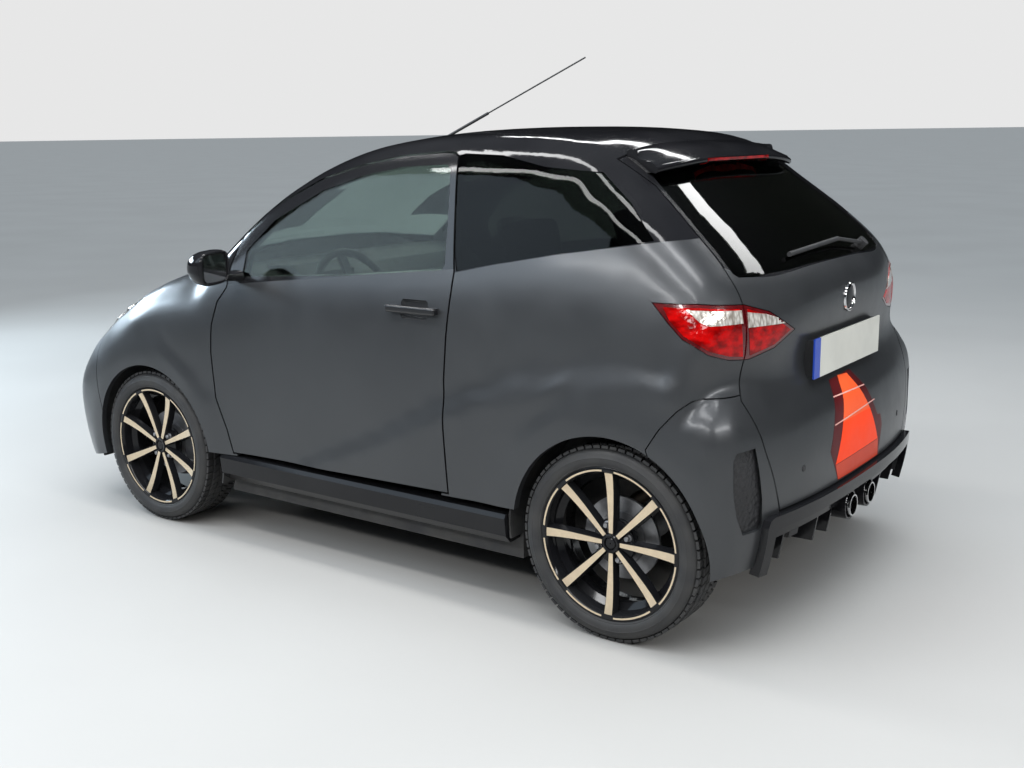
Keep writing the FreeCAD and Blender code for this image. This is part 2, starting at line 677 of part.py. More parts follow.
def hinge(point, way, eye_radius, length):
    start = point - way * (length / 2)
    pin = Part.makeCylinder(PIN, length, start, way)
    ear = length * 0.28
    ears = pin.fuse([Part.makeCylinder(eye_radius, ear, start, way),
                     Part.makeCylinder(eye_radius, ear, start + way * (length - ear), way)])
    eye_start = start + way * (ear + 0.4)
    eye_length = length - 2 * ear - 0.8
    eye = Part.makeCylinder(eye_radius, eye_length, eye_start, way)
    bore = Part.makeCylinder(PIN + 0.05, length, start, way)
    room_eye = Part.makeCylinder(eye_radius + 2, length - 2 * ear, start + way * ear, way)
    room_ears = [Part.makeCylinder(eye_radius + 2, ear + 1, start - way, way),
                 Part.makeCylinder(eye_radius + 2, ear + 1, start + way * (length - ear), way)]
    return ears, eye, bore, room_eye, room_ears


# The door straps are bent like a goose neck, so that they pass round the
# edge of the wing when the door swings out.
HINGE_X, HINGE_Y = 581.0, 707.0
UP = Vector(0, 0, 1)
for z in (555.0, 705.0):
    ears, eye, bore, room_eye, room_ears = hinge(
        Vector(HINGE_X, HINGE_Y, z), Vector(0, 0, 1), PIN + 4, 60)
    foot = Vector(HINGE_X, HINGE_Y, z - 12.5)
    leg = Part.makeBox(88, 7, 25, foot - Vector(0, 3.5, 0))
    leg.rotate(foot, UP, 250)
    neck = Part.makeCylinder(88, 25, foot, UP, 74).cut(Part.makeCylinder(81, 25, foot))
    neck.rotate(foot, UP, 176)
    web = block(HINGE_X + 2, 600, 680, HINGE_Y, z - 30, z - 14)
    web_top = block(HINGE_X + 2, 600, 680, HINGE_Y, z + 14, z + 30)
    fixed = ears.fuse([web, web_top]).cut(room_eye)
    fixed = fixed.fuse(Part.makeCylinder(PIN, 60, Vector(HINGE_X, HINGE_Y, z - 30)))
    moving = eye.fuse([leg, neck]).cut(bore)
    floor_pan = floor_pan.fuse([fixed, mirrored(fixed)])
    door_left = door_left.fuse(moving)

gate_axis = Vector(TAILGATE_TOP + MOVING_GAP / 2, 0, 1342 * TALL)
ears, eye, bore, room_eye, room_ears = hinge(gate_axis, Vector(0, 1, 0), PIN + 3, 180)
roof = roof.cut(room_eye).fuse(ears)
gate_panel = gate_panel.cut(room_ears + [eye])
spoiler = spoiler.cut(room_ears).fuse(eye).cut(bore)
hood_axis = Vector(719, 0, 976 * TALL)
ears, eye, bore, room_eye, room_ears = hinge(hood_axis, Vector(0, 1, 0), PIN + 3, 180)
roof = roof.cut(room_eye).fuse(ears)
bonnet = bonnet.cut(room_ears).fuse(eye).cut(bore)

for name, shape in (("front_bumper", bumper), ("grille", grille), ("windscreen", windscreen),
                    ("roof", roof), ("bonnet", bonnet), ("tailgate", gate_panel),
                    ("tailgate_glass", gate_glass), ("rear_diffuser", diffuser),
                    ("rear_spoiler", spoiler), ("floor_pan", floor_pan),
                    ("dashboard", dashboard), ("tow_eye", tow_eye)):
    feature(name, shape)
pair("door", door_left)
pair("door_glass", door_glass_left)
pair("body_side", side_left)
pair("front_wing", fender_left)
feature("headlamps", Part.makeCompound(both(headlamp_left)))
feature("quarter_glasses", Part.makeCompound(both(quarter_left)))
feature("front_wheelhouses", Part.makeCompound(both(front_house)))
feature("rear_wheelhouses", Part.makeCompound(both(rear_house)))
feature("rear_corners", Part.makeCompound(both(corner_left)))
feature("tail_lamps", Part.makeCompound(both(lamp_side_left)))
feature("tailgate_lamps", Part.makeCompound(both(lamp_gate_left)))


# Pieces with straight or round shapes are ordinary sketches and solids whose
# sizes are bound to the sheet.
def bound(alias, factor=1.0, add=0.0):
    return (size(alias) * factor + add, "Sizes.%s * %.6f + (%.4f)" % (alias, factor, add))


def set_value(item, path, value):
    if isinstance(value, tuple):
        item.setExpression(path, value[1])
    else:
        setattr(item, path, value)


def body_named(name):
    return doc.addObject("PartDesign::Body", name)


def sketch_on(body, name, role, points, height=0.0):
    sketch = body.newObject("Sketcher::SketchObject", name)
    plane = [item for item in body.Origin.OriginFeatures if item.Role == role][0]
    sketch.AttachmentSupport = [(plane, "")]
    sketch.MapMode = "FlatFace"
    if height:
        sketch.AttachmentOffset = FreeCAD.Placement(Vector(0, 0, height), FreeCAD.Rotation())
    numbers = [[v[0] if isinstance(v, tuple) else v for v in point] for point in points]
    count = len(points)
    for k in range(count):
        a, b = numbers[k], numbers[(k + 1) % count]
        sketch.addGeometry(Part.LineSegment(Vector(a[0], a[1], 0), Vector(b[0], b[1], 0)))
    for k in range(count):
        sketch.addConstraint(Sketcher.Constraint("Coincident", k, 2, (k + 1) % count, 1))
    for k, point in enumerate(points):
        for kind, axis, value in (("DistanceX", -2, point[0]), ("DistanceY", -1, point[1])):
            number = value[0] if isinstance(value, tuple) else value
            if abs(number) < 1e-9:
                sketch.addConstraint(Sketcher.Constraint("PointOnObject", k, 1, axis))
                continue
            made = sketch.addConstraint(Sketcher.Constraint(kind, -1, 1, k, 1, number))
            if isinstance(value, tuple):
                sketch.setExpression("Constraints[%d]" % made, value[1])
    return sketch


def revolve_about_y(name, points):
    body = body_named(name)
    sketch = sketch_on(body, name + "_section", "XY_Plane", points)
    turn = body.newObject("PartDesign::Revolution", name + "_turn")
    turn.Profile = sketch
    turn.ReferenceAxis = (sketch, ["V_Axis"])
    turn.Angle = 360
    body.Tip = turn
    return body


def placed_copy(name, source, x, y, z, turned=False):
    item = doc.addObject("Part::Compound", name)
    item.Label = name
    item.Links = source if isinstance(source, list) else [source]
    rotation = FreeCAD.Rotation(Vector(0, 0, 1), 180 if turned else 0)
    item.Placement = FreeCAD.Placement(Vector(0, 0, 0), rotation)
    for axis, value in (("x", x), ("y", y), ("z", z)):
        if isinstance(value, tuple):
            item.setExpression("Placement.Base." + axis, value[1])
        else:
            setattr(item.Placement.Base, axis, value)
    NODES.append(item)
    return item


tyre_radius = bound("tyre_diameter", 0.5)
seat_radius = bound("rim_diameter", 0.5, -16)
half_tread = bound("tyre_width", 0.5, -22)
half_tyre = bound("tyre_width", 0.5)
tyre = revolve_about_y("tyre_master", [
    (seat_radius, 66), (bound("rim_diameter", 0.5), 66),
    (bound("rim_diameter", 0.5, 6), bound("tyre_width", 0.5, -6)),
    (bound("rim_diameter", 0.5, 24), half_tyre),
    (bound("tyre_diameter", 0.5, -20), bound("tyre_width", 0.5, -2.5)),
    (bound("tyre_diameter", 0.5, -8), bound("tyre_width", 0.5, -9)),
    (tyre_radius, half_tread), (tyre_radius, bound("tyre_width", -0.5, 22)),
    (bound("tyre_diameter", 0.5, -8), bound("tyre_width", -0.5, 9)),
    (bound("tyre_diameter", 0.5, -20), bound("tyre_width", -0.5, 2.5)),
    (bound("rim_diameter", 0.5, 24), bound("tyre_width", -0.5)),
    (bound("rim_diameter", 0.5, 6), bound("tyre_width", -0.5, 6)),
    (bound("rim_diameter", 0.5), -66), (seat_radius, -66), (seat_radius, -52),
    (bound("rim_diameter", 0.5, 0), -56),
    (bound("rim_diameter", 0.5, 22), bound("tyre_width", -0.5, 11)),
    (bound("tyre_diameter", 0.5, -13), bound("tyre_width", -0.5, 18)),
    (bound("tyre_diameter", 0.5, -11), bound("tyre_width", -0.5, 24)),
    (bound("tyre_diameter", 0.5, -11), bound("tyre_width", 0.5, -24)),
    (bound("tyre_diameter", 0.5, -13), bound("tyre_width", 0.5, -18)),
    (bound("rim_diameter", 0.5, 22), bound("tyre_width", 0.5, -11)),
    (bound("rim_diameter", 0.5, 0), 56), (seat_radius, 52),
])

RIM_IN = bound("rim_diameter", 0.5, -24)
FLANGE = bound("rim_diameter", 0.5)
rim = body_named("rim_master")
rim_section = sketch_on(rim, "rim_section", "XY_Plane", [
    (RIM_IN, 50), (seat_radius, 50), (seat_radius, 66), (FLANGE, 66), (FLANGE, 72),
    (bound("rim_diameter", 0.5, -14), 74), (RIM_IN, 62),
])
barrel = rim.newObject("PartDesign::Revolution", "rim_front")
barrel.Profile = rim_section
barrel.ReferenceAxis = (rim_section, ["V_Axis"])
barrel.Angle = 360
barrel_section = sketch_on(rim, "barrel_section", "XY_Plane", [
    (RIM_IN, -60), (bound("rim_diameter", 0.5, -16), -66), (FLANGE, -66), (FLANGE, -73),
    (bound("rim_diameter", 0.5, -20), -73), (bound("rim_diameter", 0.5, -26), -64),
    (bound("rim_diameter", 0.5, -26), 55), (seat_radius, 55), (seat_radius, -60),
])
barrel_turn = rim.newObject("PartDesign::Revolution", "rim_barrel")
barrel_turn.Profile = barrel_section
barrel_turn.ReferenceAxis = (barrel_section, ["V_Axis"])
barrel_turn.Angle = 360
hub_section = sketch_on(rim, "hub_section", "XY_Plane", [
    (bound("stub_radius", 1, 0.05), -18), (bound("hub_radius", 1), -18),
    (bound("hub_radius", 1), 46), (bound("hub_radius", 0.55), 52),
    (bound("hub_radius", 0.5), 56), (0, 56), (0, 11), (bound("stub_radius", 1, 0.05), 11),
])
hub_turn = rim.newObject("PartDesign::Revolution", "rim_hub")
hub_turn.Profile = hub_section
hub_turn.ReferenceAxis = (hub_section, ["V_Axis"])
hub_turn.Angle = 360
spoke_sketch = sketch_on(rim, "spoke_outline", "XZ_Plane", [
    (bound("hub_radius", 1, -8), bound("spoke_width", -0.38)),
    (bound("rim_diameter", 0.5, -21), bound("spoke_width", -0.62)),
    (bound("rim_diameter", 0.5, -21), bound("spoke_width", 0.62)),
    (bound("hub_radius", 1, -8), bound("spoke_width", 0.38)),
], -58)
spoke = rim.newObject("PartDesign::Pad", "spoke")
spoke.Profile = spoke_sketch
spoke.Length = 30
spoke.Reversed = False
pattern = rim.newObject("PartDesign::PolarPattern", "spokes")
pattern.Originals = [spoke]
pattern.Axis = (spoke_sketch, ["N_Axis"])
pattern.Angle = 360
pattern.Occurrences = int(size("spoke_count"))
pattern.setExpression("Occurrences", "Sizes.spoke_count")
rim.Tip = pattern
disc = revolve_about_y("disc_master", [
    (bound("hub_radius", 1), -12), (bound("disc_diameter", 0.5), -12),
    (bound("disc_diameter", 0.5), -2), (bound("hub_radius", 1), -2),
])
doc.recompute()
TYRE_MIDDLE = bound("wheel_offset")
for end, x in (("front", FRONT_AXLE), ("rear", REAR_AXLE)):
    for side, sign in (("left", 1), ("right", -1)):
        middle = bound("wheel_offset", sign)
        height = bound("tyre_diameter", 0.5)
        along = bound("rear_overhang")
        for kind, source in (("tyre", tyre), ("wheel", [rim, disc])):
            item = placed_copy("%s_%s_%s" % (kind, end, side), source, x, middle, height,
                               sign < 0)
            if end == "front":
                item.setExpression("Placement.Base.x", "Sizes.rear_overhang + "
                                   "Sizes.wheelbase - Sizes.overall_length / 2")
            else:
                item.setExpression("Placement.Base.x",
                                   "Sizes.rear_overhang - Sizes.overall_length / 2")


def shaped(name, kind, place, direction=None, **values):
    item = doc.addObject(kind, name)
    rotation = FreeCAD.Rotation()
    if direction is not None:
        rotation = FreeCAD.Rotation(Vector(0, 0, 1), direction)
    item.Placement = FreeCAD.Placement(Vector(*[
        v[0] if isinstance(v, tuple) else v for v in place]), rotation)
    for axis, value in zip("xyz", place):
        if isinstance(value, tuple):
            item.setExpression("Placement.Base." + axis, value[1])
    for key, value in values.items():
        set_value(item, key, value)
    return item


def fused(name, parts, keep=True):
    item = doc.addObject("Part::MultiFuse", name)
    item.Label = name
    item.Shapes = parts
    if keep:
        NODES.append(item)
    return item


# Steering knuckles, axles and drive.
FRONT_X = ("Sizes.rear_overhang + Sizes.wheelbase - Sizes.overall_length / 2")
REAR_X = ("Sizes.rear_overhang - Sizes.overall_length / 2")


def from_front(add):
    return (FRONT_AXLE + add, FRONT_X + " + (%.3f)" % add)


def from_rear(add):
    return (REAR_AXLE + add, REAR_X + " + (%.3f)" % add)


def axle_height(add=0.0):
    return bound("tyre_diameter", 0.5, add)


Y = Vector(0, 1, 0)
boss = shaped("knuckle_boss", "Part::Cylinder",
              (from_front(0), bound("kingpin_offset"), axle_height(-109.2)),
              Radius=26, Height=233.4)
carrier = shaped("knuckle_carrier", "Part::Cylinder",
                 (from_front(0), bound("kingpin_offset"), axle_height()), Y,
                 Radius=50, Height=28)
stub = shaped("knuckle_stub", "Part::Cylinder",
              (from_front(0), bound("kingpin_offset"), axle_height()), Y,
              Radius=bound("stub_radius"), Height=bound("wheel_offset", 1, -590))
arm = shaped("knuckle_arm", "Part::Box",
             (from_front(-130), bound("kingpin_offset", 1, -30), axle_height(-80)),
             Length=130, Width=28, Height=20)
lug = shaped("caliper_bracket", "Part::Box",
             (from_front(-130), bound("kingpin_offset", 1, 10), axle_height(-16)),
             Length=130, Width=18, Height=32)
jaw = shaped("caliper_jaw", "Part::Box",
             (from_front(-152), bound("wheel_offset", 1, -34), axle_height(-45)),
             Length=62, Width=50, Height=90)
slot = shaped("caliper_slot", "Part::Cylinder",
              (from_front(0), bound("wheel_offset", 1, -18), axle_height()), Y,
              Radius=bound("disc_diameter", 0.5, 5.5), Height=22)
caliper = doc.addObject("Part::Cut", "caliper")
caliper.Base = jaw
caliper.Tool = slot
knuckle_left = fused("knuckle_left", [boss, carrier, stub, arm, lug, caliper])
knuckle_right = doc.addObject("Part::Mirroring", "knuckle_right")
knuckle_right.Label = "knuckle_right"
knuckle_right.Source = knuckle_left
knuckle_right.Normal = Vector(0, 1, 0)
NODES.append(knuckle_right)

cross = shaped("subframe_cross", "Part::Box", (from_front(-65), -405, axle_height(-87.5)),
               Length=130, Width=810, Height=49.7)
front_half = []
for name, z, height in (("lower_arm", -127.5, 18), ("upper_arm", 124.5, 18)):
    front_half.append(shaped(name, "Part::Box",
                             (from_front(-25), 390, axle_height(z)),
                             Length=50, Width=bound("kingpin_offset", 1, -390),
                             Height=height))
    front_half.append(shaped(name + "_end", "Part::Cylinder",
                             (from_front(0), bound("kingpin_offset"), axle_height(z)),
                             Radius=26, Height=height))
front_half.append(shaped("arm_upright", "Part::Box", (from_front(-30), 380, axle_height(-127.5)),
                         Length=60, Width=25, Height=270))
front_side = fused("front_axle_side", front_half, False)
front_mirror = doc.addObject("Part::Mirroring", "front_axle_other")
front_mirror.Source = front_side
front_mirror.Normal = Vector(0, 1, 0)
fused("front_axle", [cross, front_side, front_mirror])

engine = doc.addObject("Part::Box", "engine")
engine.Length = size("engine_length")
for axis, value in (("x", from_front(-140)), ("y", bound("engine_width", -0.5)),
                    ("z", axle_height(-37.5))):
    engine.setExpression("Placement.Base." + axis, value[1])
for key in ("length", "width", "height"):
    engine.setExpression(key.capitalize(), "Sizes.engine_" + key)
NODES.append(engine)

rear_parts = [shaped("rear_beam", "Part::Box", (from_rear(-35), -470, axle_height(-25)),
                     Length=70, Width=940, Height=50)]
for sign in (1, -1):
    way = Vector(0, sign, 0)
    rear_parts += [
        shaped("rear_stub", "Part::Cylinder", (from_rear(0), 460 * sign, axle_height()), way,
               Radius=bound("stub_radius"), Height=bound("wheel_offset", 1, -450)),
        shaped("rear_carrier", "Part::Cylinder", (from_rear(0), 460 * sign, axle_height()),
               way, Radius=50, Height=bound("wheel_offset", 1, -484.5)),
        shaped("damper", "Part::Cylinder", (from_rear(0), 400 * sign, axle_height(20)),
               Radius=34, Height=bound("tyre_diameter", -0.5, 379.8)),
        shaped("trailing_arm", "Part::Box",
               (from_rear(0), -445 if sign < 0 else 415, axle_height(-60)),
               Length=("", "%.4f - (%s)" % (RISER - 0.3, REAR_X)), Width=30, Height=50),
    ]
fused("rear_axle", rear_parts)

seat = body_named("seat_master")
seat_side = sketch_on(seat, "seat_side", "XZ_Plane", [
    (60, 170.3), (70, 400), (45, 450), (-20, 458), (-320, 415), (-365, 455), (-470, 860),
    (-490, 925), (-530, 940), (-580, 915), (-585, 860), (-500, 420), (-470, 340),
    (-440, 170.3),
])
seat_pad = seat.newObject("PartDesign::Pad", "seat_pad")
seat_pad.Profile = seat_side
seat_pad.setExpression("Length", "Sizes.seat_width")
seat_pad.Midplane = True
head_side = sketch_on(seat, "head_side", "XZ_Plane", [
    (-500, 900), (-500, 965), (-478, 985), (-492, 1090), (-520, 1120), (-570, 1112),
    (-590, 1080), (-585, 985), (-560, 960), (-560, 900),
])
head_pad = seat.newObject("PartDesign::Pad", "head_pad")
head_pad.Profile = head_side
head_pad.setExpression("Length", "Sizes.seat_width * 0.58")
head_pad.Midplane = True
seat.Tip = head_pad
doc.recompute()
seat_one = doc.addObject("Part::Compound", "seat_one")
seat_one.Links = [seat]
seat_one.setExpression("Placement.Base.y", "Sizes.seat_offset")
seat_two = doc.addObject("Part::Mirroring", "seat_two")
seat_two.Source = seat_one
seat_two.Normal = Vector(0, 1, 0)
seats = doc.addObject("Part::Compound", "seats")
seats.Links = [seat_one, seat_two]
NODES.append(seats)

ring = doc.addObject("Part::Torus", "wheel_ring")
ring.setExpression("Radius1", "Sizes.steering_radius")
ring.Radius2 = 14
wheel_hub = shaped("wheel_hub", "Part::Cylinder", (0, 0, -25), Radius=38, Height=35)
shaft = shaped("wheel_shaft", "Part::Cylinder", (0, 0, -85), Height=70,
               Radius=bound("shaft_radius"))
steer_parts = [ring, wheel_hub, shaft]
for angle in (0, 180, 270):
    bar = doc.addObject("Part::Box", "wheel_bar")
    bar.setExpression("Length", "Sizes.steering_radius - 8")
    bar.Width = 34
    bar.Height = 14
    turn = FreeCAD.Rotation(Vector(0, 0, 1), angle)
    bar.Placement = FreeCAD.Placement(turn.multVec(Vector(0, -17, -7)), turn)
    steer_parts.append(bar)
steering = fused("steering_wheel", steer_parts)
steering.Placement = FreeCAD.Placement(
    hub_point, FreeCAD.Rotation(Vector(0, 0, 1), Vector(-math.cos(TILT), 0, math.sin(TILT))))

# Exhaust, skirts, plate, mast, wipers and mirrors.
pipes = []


def pipe(x0, y0, z0, x1, y1, z1, radius):
    way = Vector(x1 - x0, y1 - y0, z1 - z0)
    length = way.Length
    pipes.append(shaped("pipe", "Part::Cylinder", (x0, y0, z0), way, Radius=radius,
                        Height=length))


def knee(x, y, z, radius):
    ball = doc.addObject("Part::Sphere", "knee")
    ball.Radius = radius
    ball.Placement.Base = Vector(x, y, z)
    pipes.append(ball)


for sign in (1, -1):
    pipes.append(shaped("tail_pipe", "Part::Cylinder", (-1496, sign * TIP_Y, TIP_Z),
                        Vector(1, 0, 0), Radius=bound("exhaust_radius"), Height=160))
pipes.append(shaped("silencer", "Part::Cylinder", (-1300, -190, 325), Y, Radius=62,
                    Height=380))
pipes.append(shaped("silencer_hook", "Part::Box", (-1310, -150, 370), Length=20, Width=300,
                    Height=29.7))
route = [(-1300, 120, 325), (-1180, 120, 352), (-1000, 120, 352), (-790, 120, 200),
         (-740, 120, 122), (694, 120, 122), (694, 120, 300)]
for start, end in zip(route, route[1:]):
    pipe(*start, *end, 22)
    knee(*end, 22)
pipe(694, 120, 300, 724.7, 120, 300, 22)
exhaust_outer = fused("exhaust_outer", pipes, False)
bores = []
for sign in (1, -1):
    bores.append(shaped("tail_bore", "Part::Cylinder", (-1500, sign * TIP_Y, TIP_Z),
                        Vector(1, 0, 0), Radius=bound("exhaust_radius", 1, -4), Height=100))
bore_pair = fused("tail_bores", bores, False)
exhaust = doc.addObject("Part::Cut", "exhaust")
exhaust.Base = exhaust_outer
exhaust.Tool = bore_pair
NODES.append(exhaust)

skirt = body_named("skirt_master")
skirt_plan = sketch_on(skirt, "skirt_section", "YZ_Plane", [
    (655.3, 215), (706, 212), (728, 236), (734, 290), (728, 303), (655.3, 303),
])
skirt_pad = skirt.newObject("PartDesign::Pad", "skirt_pad")
skirt_pad.Profile = skirt_plan
skirt_pad.Length = 1220
skirt.Tip = skirt_pad
skirt_left = placed_copy("side_skirt_left", skirt, -709, 0, 0)
skirt_left.Placement.Base = Vector(-709, 0, 0)
skirt_right = doc.addObject("Part::Mirroring", "side_skirt_right")
skirt_right.Label = "side_skirt_right"
skirt_right.Source = skirt_left
skirt_right.Normal = Vector(0, 1, 0)
NODES.append(skirt_right)

doc.recompute()


def along_x(y, z, from_rear_side=True):
    # First point of the outer surface on a line along x, seen from the rear.
    line = Part.makeLine(Vector(-1700, y, z), Vector(-600, y, z))
    points = [v.Point for v in OUTER_FACE.section(line).Vertexes]
    return min(points, key=lambda p: p.x)


OUTER_FACE = skin(0).toShape()
half_plate, plate_z = size("plate_width") / 2, 752 * TALL
plate_low, plate_high = plate_z - size("plate_height") / 2, plate_z + size("plate_height") / 2
sheet_metal = block(-1432, -1427, -half_plate, half_plate, plate_low, plate_high)
holder = block(-1427, -1380, -half_plate + 6, half_plate - 6, plate_low + 5, plate_high - 5)
number_plate = sheet_metal.fuse(holder.cut(SIDE)).removeSplitter()
number_plate = min(number_plate.Solids, key=lambda solid: solid.BoundBox.XMin)
feature("number_plate", number_plate)

wiper_points = [(-262, 1020, 14), (-90, 1043, 16), (262, 1032, 10)]
wiper_nodes = []
for y, z, lift in wiper_points:
    point = along_x(y, z)
    wiper_nodes.append(Vector(point.x - lift * 0.7, y, point.z + lift * 0.7))
rod = Part.makeCylinder(6, (wiper_nodes[1] - wiper_nodes[0]).Length, wiper_nodes[0],
                        wiper_nodes[1] - wiper_nodes[0])
blade = Part.makeCylinder(7, (wiper_nodes[2] - wiper_nodes[1]).Length, wiper_nodes[1],
                          wiper_nodes[2] - wiper_nodes[1])
pivot = Part.makeCylinder(16, 44, wiper_nodes[0] + Vector(-8, 0, 8), Vector(1, 0, -1))
wiper_stop = slab(size("glass_inset"), 60)
wiper = pivot.fuse([rod, blade, Part.makeSphere(7, wiper_nodes[1])]).cut(wiper_stop)
wiper = max(wiper.Solids, key=lambda solid: solid.Volume)
feature("rear_wiper", wiper)

way = Vector(-534, 0, 226)
way.normalize()
base = Vector(100, 0, 1347 * TALL)
mast = Part.makeCylinder(2.5, size("antenna_length") + 95, base, way).fuse([
    Part.makeCylinder(5, 245, base, way), Part.makeSphere(9, base),
    Part.makeCone(22, 9, 47, base - Vector(0, 0, 47), Vector(0, 0, 1))])
mast = mast.cut(ROOF.common(block(-100, 200, -100, 100, 1200, 1450)))
mast = max(mast.Solids, key=lambda solid: solid.Volume)
feature("antenna", mast)

housing = block(345, 452, 775, 900, 905, 1028)
housing = housing.makeFillet(34, housing.Edges)
foot = plate([(385, 912), (435, 912), (430, 938), (390, 938)], "xz", 660, Vector(0, 140, 0))
foot = foot.cut(LEFT_DOOR)
foot = max(foot.Solids, key=lambda solid: solid.BoundBox.YMax)
mirror_left = housing.fuse(foot).cut(block(330, 351, 790, 885, 918, 1015))
pair("mirror", mirror_left)

doc.recompute()
for item in doc.Objects:
    if "Invalid" in item.State or "Error" in item.State:
        raise RuntimeError("object %s is in state %s" % (item.Name, item.State))
os.makedirs("parts", exist_ok=True)
for item in NODES:
    shape = item.Shape
    if shape.isNull() or not shape.isValid():
        raise RuntimeError("shape %s is not valid" % item.Label)
    shape.exportStep("parts/%s.step" % item.Label)
    print(item.Label, len(shape.Solids), round(shape.Volume / 1e6, 3))
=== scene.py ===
"""The microcar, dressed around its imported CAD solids. The solids keep their shape and get
finishes; wheels, lamp covers, stripe, mirrors and seats are made here, then room and camera."""
import bpy
import bmesh
import math
from mathutils import Matrix, Vector
from mathutils.bvhtree import BVHTree


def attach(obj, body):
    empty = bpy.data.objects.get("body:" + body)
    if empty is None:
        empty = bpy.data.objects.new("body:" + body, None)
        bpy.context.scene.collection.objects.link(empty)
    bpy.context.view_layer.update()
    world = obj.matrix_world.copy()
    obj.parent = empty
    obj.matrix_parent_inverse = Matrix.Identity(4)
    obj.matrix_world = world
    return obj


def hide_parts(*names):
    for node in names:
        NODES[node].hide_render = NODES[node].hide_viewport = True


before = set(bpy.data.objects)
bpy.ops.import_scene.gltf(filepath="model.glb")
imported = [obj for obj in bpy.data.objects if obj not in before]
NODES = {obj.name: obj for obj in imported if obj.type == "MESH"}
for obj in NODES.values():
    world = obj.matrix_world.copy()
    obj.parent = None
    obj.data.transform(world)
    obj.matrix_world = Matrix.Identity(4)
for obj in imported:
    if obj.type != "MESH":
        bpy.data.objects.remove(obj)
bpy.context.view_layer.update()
SIDES = (("left", 1), ("right", -1))
FRONT_AXLE, REAR_AXLE, WHEEL_OFFSET = 0.865, -1.05, 0.6525
TYRE_RADIUS = 0.2775
# The door's black begins at the waist line, z = WAIST_Z + WAIST_SLOPE * x.
WAIST_SLOPE, WAIST_Z = -0.1064, 0.9412
HANDLE_X, HANDLE_Y, HANDLE_Z = -0.381, 0.7238, 0.873
GRIP_HALF_LENGTH, GRIP_HALF_HEIGHT = 0.099, 0.014
GATE_HALF_WIDTH = 0.52
EDGE = 0.0006  # half the width over which paint turns black
PAINT_METALLIC = 0.7
GLOSS_COLOR, GLOSS_ROUGHNESS = (0.008, 0.008, 0.009), 0.15


# ---------------------------------------------------------------- finishes
class Finish:
    """One procedural finish: a principled shader and the nodes that feed it."""

    def __init__(self, name, color, roughness, metallic=0.0, **sockets):
        self.material = bpy.data.materials.new(name)
        self.material.use_nodes = True
        self.tree = self.material.node_tree
        self.tree.nodes.clear()
        self.out = self.node("OutputMaterial")
        self.shader = self.node("BsdfPrincipled")
        self.tree.links.new(self.shader.outputs[0], self.out.inputs[0])
        coordinates = self.node("TexCoord")
        self.place = coordinates.outputs["Object"]
        self.bumps = None
        self.set("Base Color", color)
        self.set("Roughness", roughness)
        self.set("Metallic", metallic)
        for key, value in sockets.items():
            self.set(key.replace("_", " "), value)

    def node(self, kind, **settings):
        item = self.tree.nodes.new("ShaderNode" + kind)
        for key, value in settings.items():
            setattr(item, key, value)
        return item

    def plug(self, socket, value):
        if isinstance(value, bpy.types.NodeSocket):
            self.tree.links.new(value, socket)
        elif isinstance(value, tuple) and len(value) == 3 and len(socket.default_value) == 4:
            socket.default_value = value + (1.0,)
        else:
            socket.default_value = value

    def set(self, key, value):
        self.plug(self.shader.inputs[key], value)
        return self

    def math(self, operation, first, second=0.0, third=0.0):
        item = self.node("Math", operation=operation)
        for socket, value in zip(item.inputs, (first, second, third)):
            self.plug(socket, value)
        return item.outputs[0]

    def along(self, direction):
        """Distance along a direction of the piece's own coordinates."""
        item = self.node("VectorMath", operation="DOT_PRODUCT")
        self.plug(item.inputs[0], self.place)
        item.inputs[1].default_value = direction
        return item.outputs["Value"]

    def scaled(self, stretch):
        item = self.node("Mapping")
        self.plug(item.inputs["Vector"], self.place)
        item.inputs["Scale"].default_value = stretch
        return item.outputs["Vector"]

    def noise(self, scale, detail=2.0, stretch=None):
        item = self.node("TexNoise")
        self.plug(item.inputs["Vector"], self.scaled(stretch) if stretch else self.place)
        item.inputs["Scale"].default_value = scale
        item.inputs["Detail"].default_value = detail
        return item.outputs["Fac"]

    def cells(self, scale, place=None):
        item = self.node("TexVoronoi")
        self.plug(item.inputs["Vector"], self.place if place is None else place)
        item.inputs["Scale"].default_value = scale
        return item.outputs[0]

    def fit(self, value, low, high, to_low=0.0, to_high=1.0):
        item = self.node("MapRange")
        for socket, number in zip(item.inputs, (value, low, high, to_low, to_high)):
            self.plug(socket, number)
        return item.outputs[0]

    def mix(self, share, first, second):
        item = self.node("Mix", data_type="RGBA")
        self.plug(item.inputs[0], share)
        self.plug(item.inputs[6], first)
        self.plug(item.inputs[7], second)
        return item.outputs[2]

    def tint(self, color, other, scale, detail=3.0):
        """Colour that wanders between two tones, as real paint and rubber do."""
        return self.mix(self.fit(self.noise(scale, detail), 0.35, 0.65), color, other)

    def rough(self, low, high, scale):
        return self.set("Roughness", self.fit(self.noise(scale, 4.0), 0.3, 0.7, low, high))

    def bump(self, height, distance, strength=1.0):
        item = self.node("Bump")
        self.plug(item.inputs["Height"], height)
        item.inputs["Distance"].default_value = distance
        item.inputs["Strength"].default_value = strength
        if self.bumps is not None:
            self.plug(item.inputs["Normal"], self.bumps)
        self.bumps = item.outputs["Normal"]
        self.set("Normal", self.bumps)
        return self


def toned(name, color, other, spread, roughness, metallic=0.0, **sockets):
    """A finish between two tones and two roughnesses; spread is the pattern's scale, detail."""
    finish = Finish(name, color, roughness[0], metallic, **sockets)
    finish.set("Base Color", finish.tint(color, other, *spread))
    return finish.rough(*roughness)


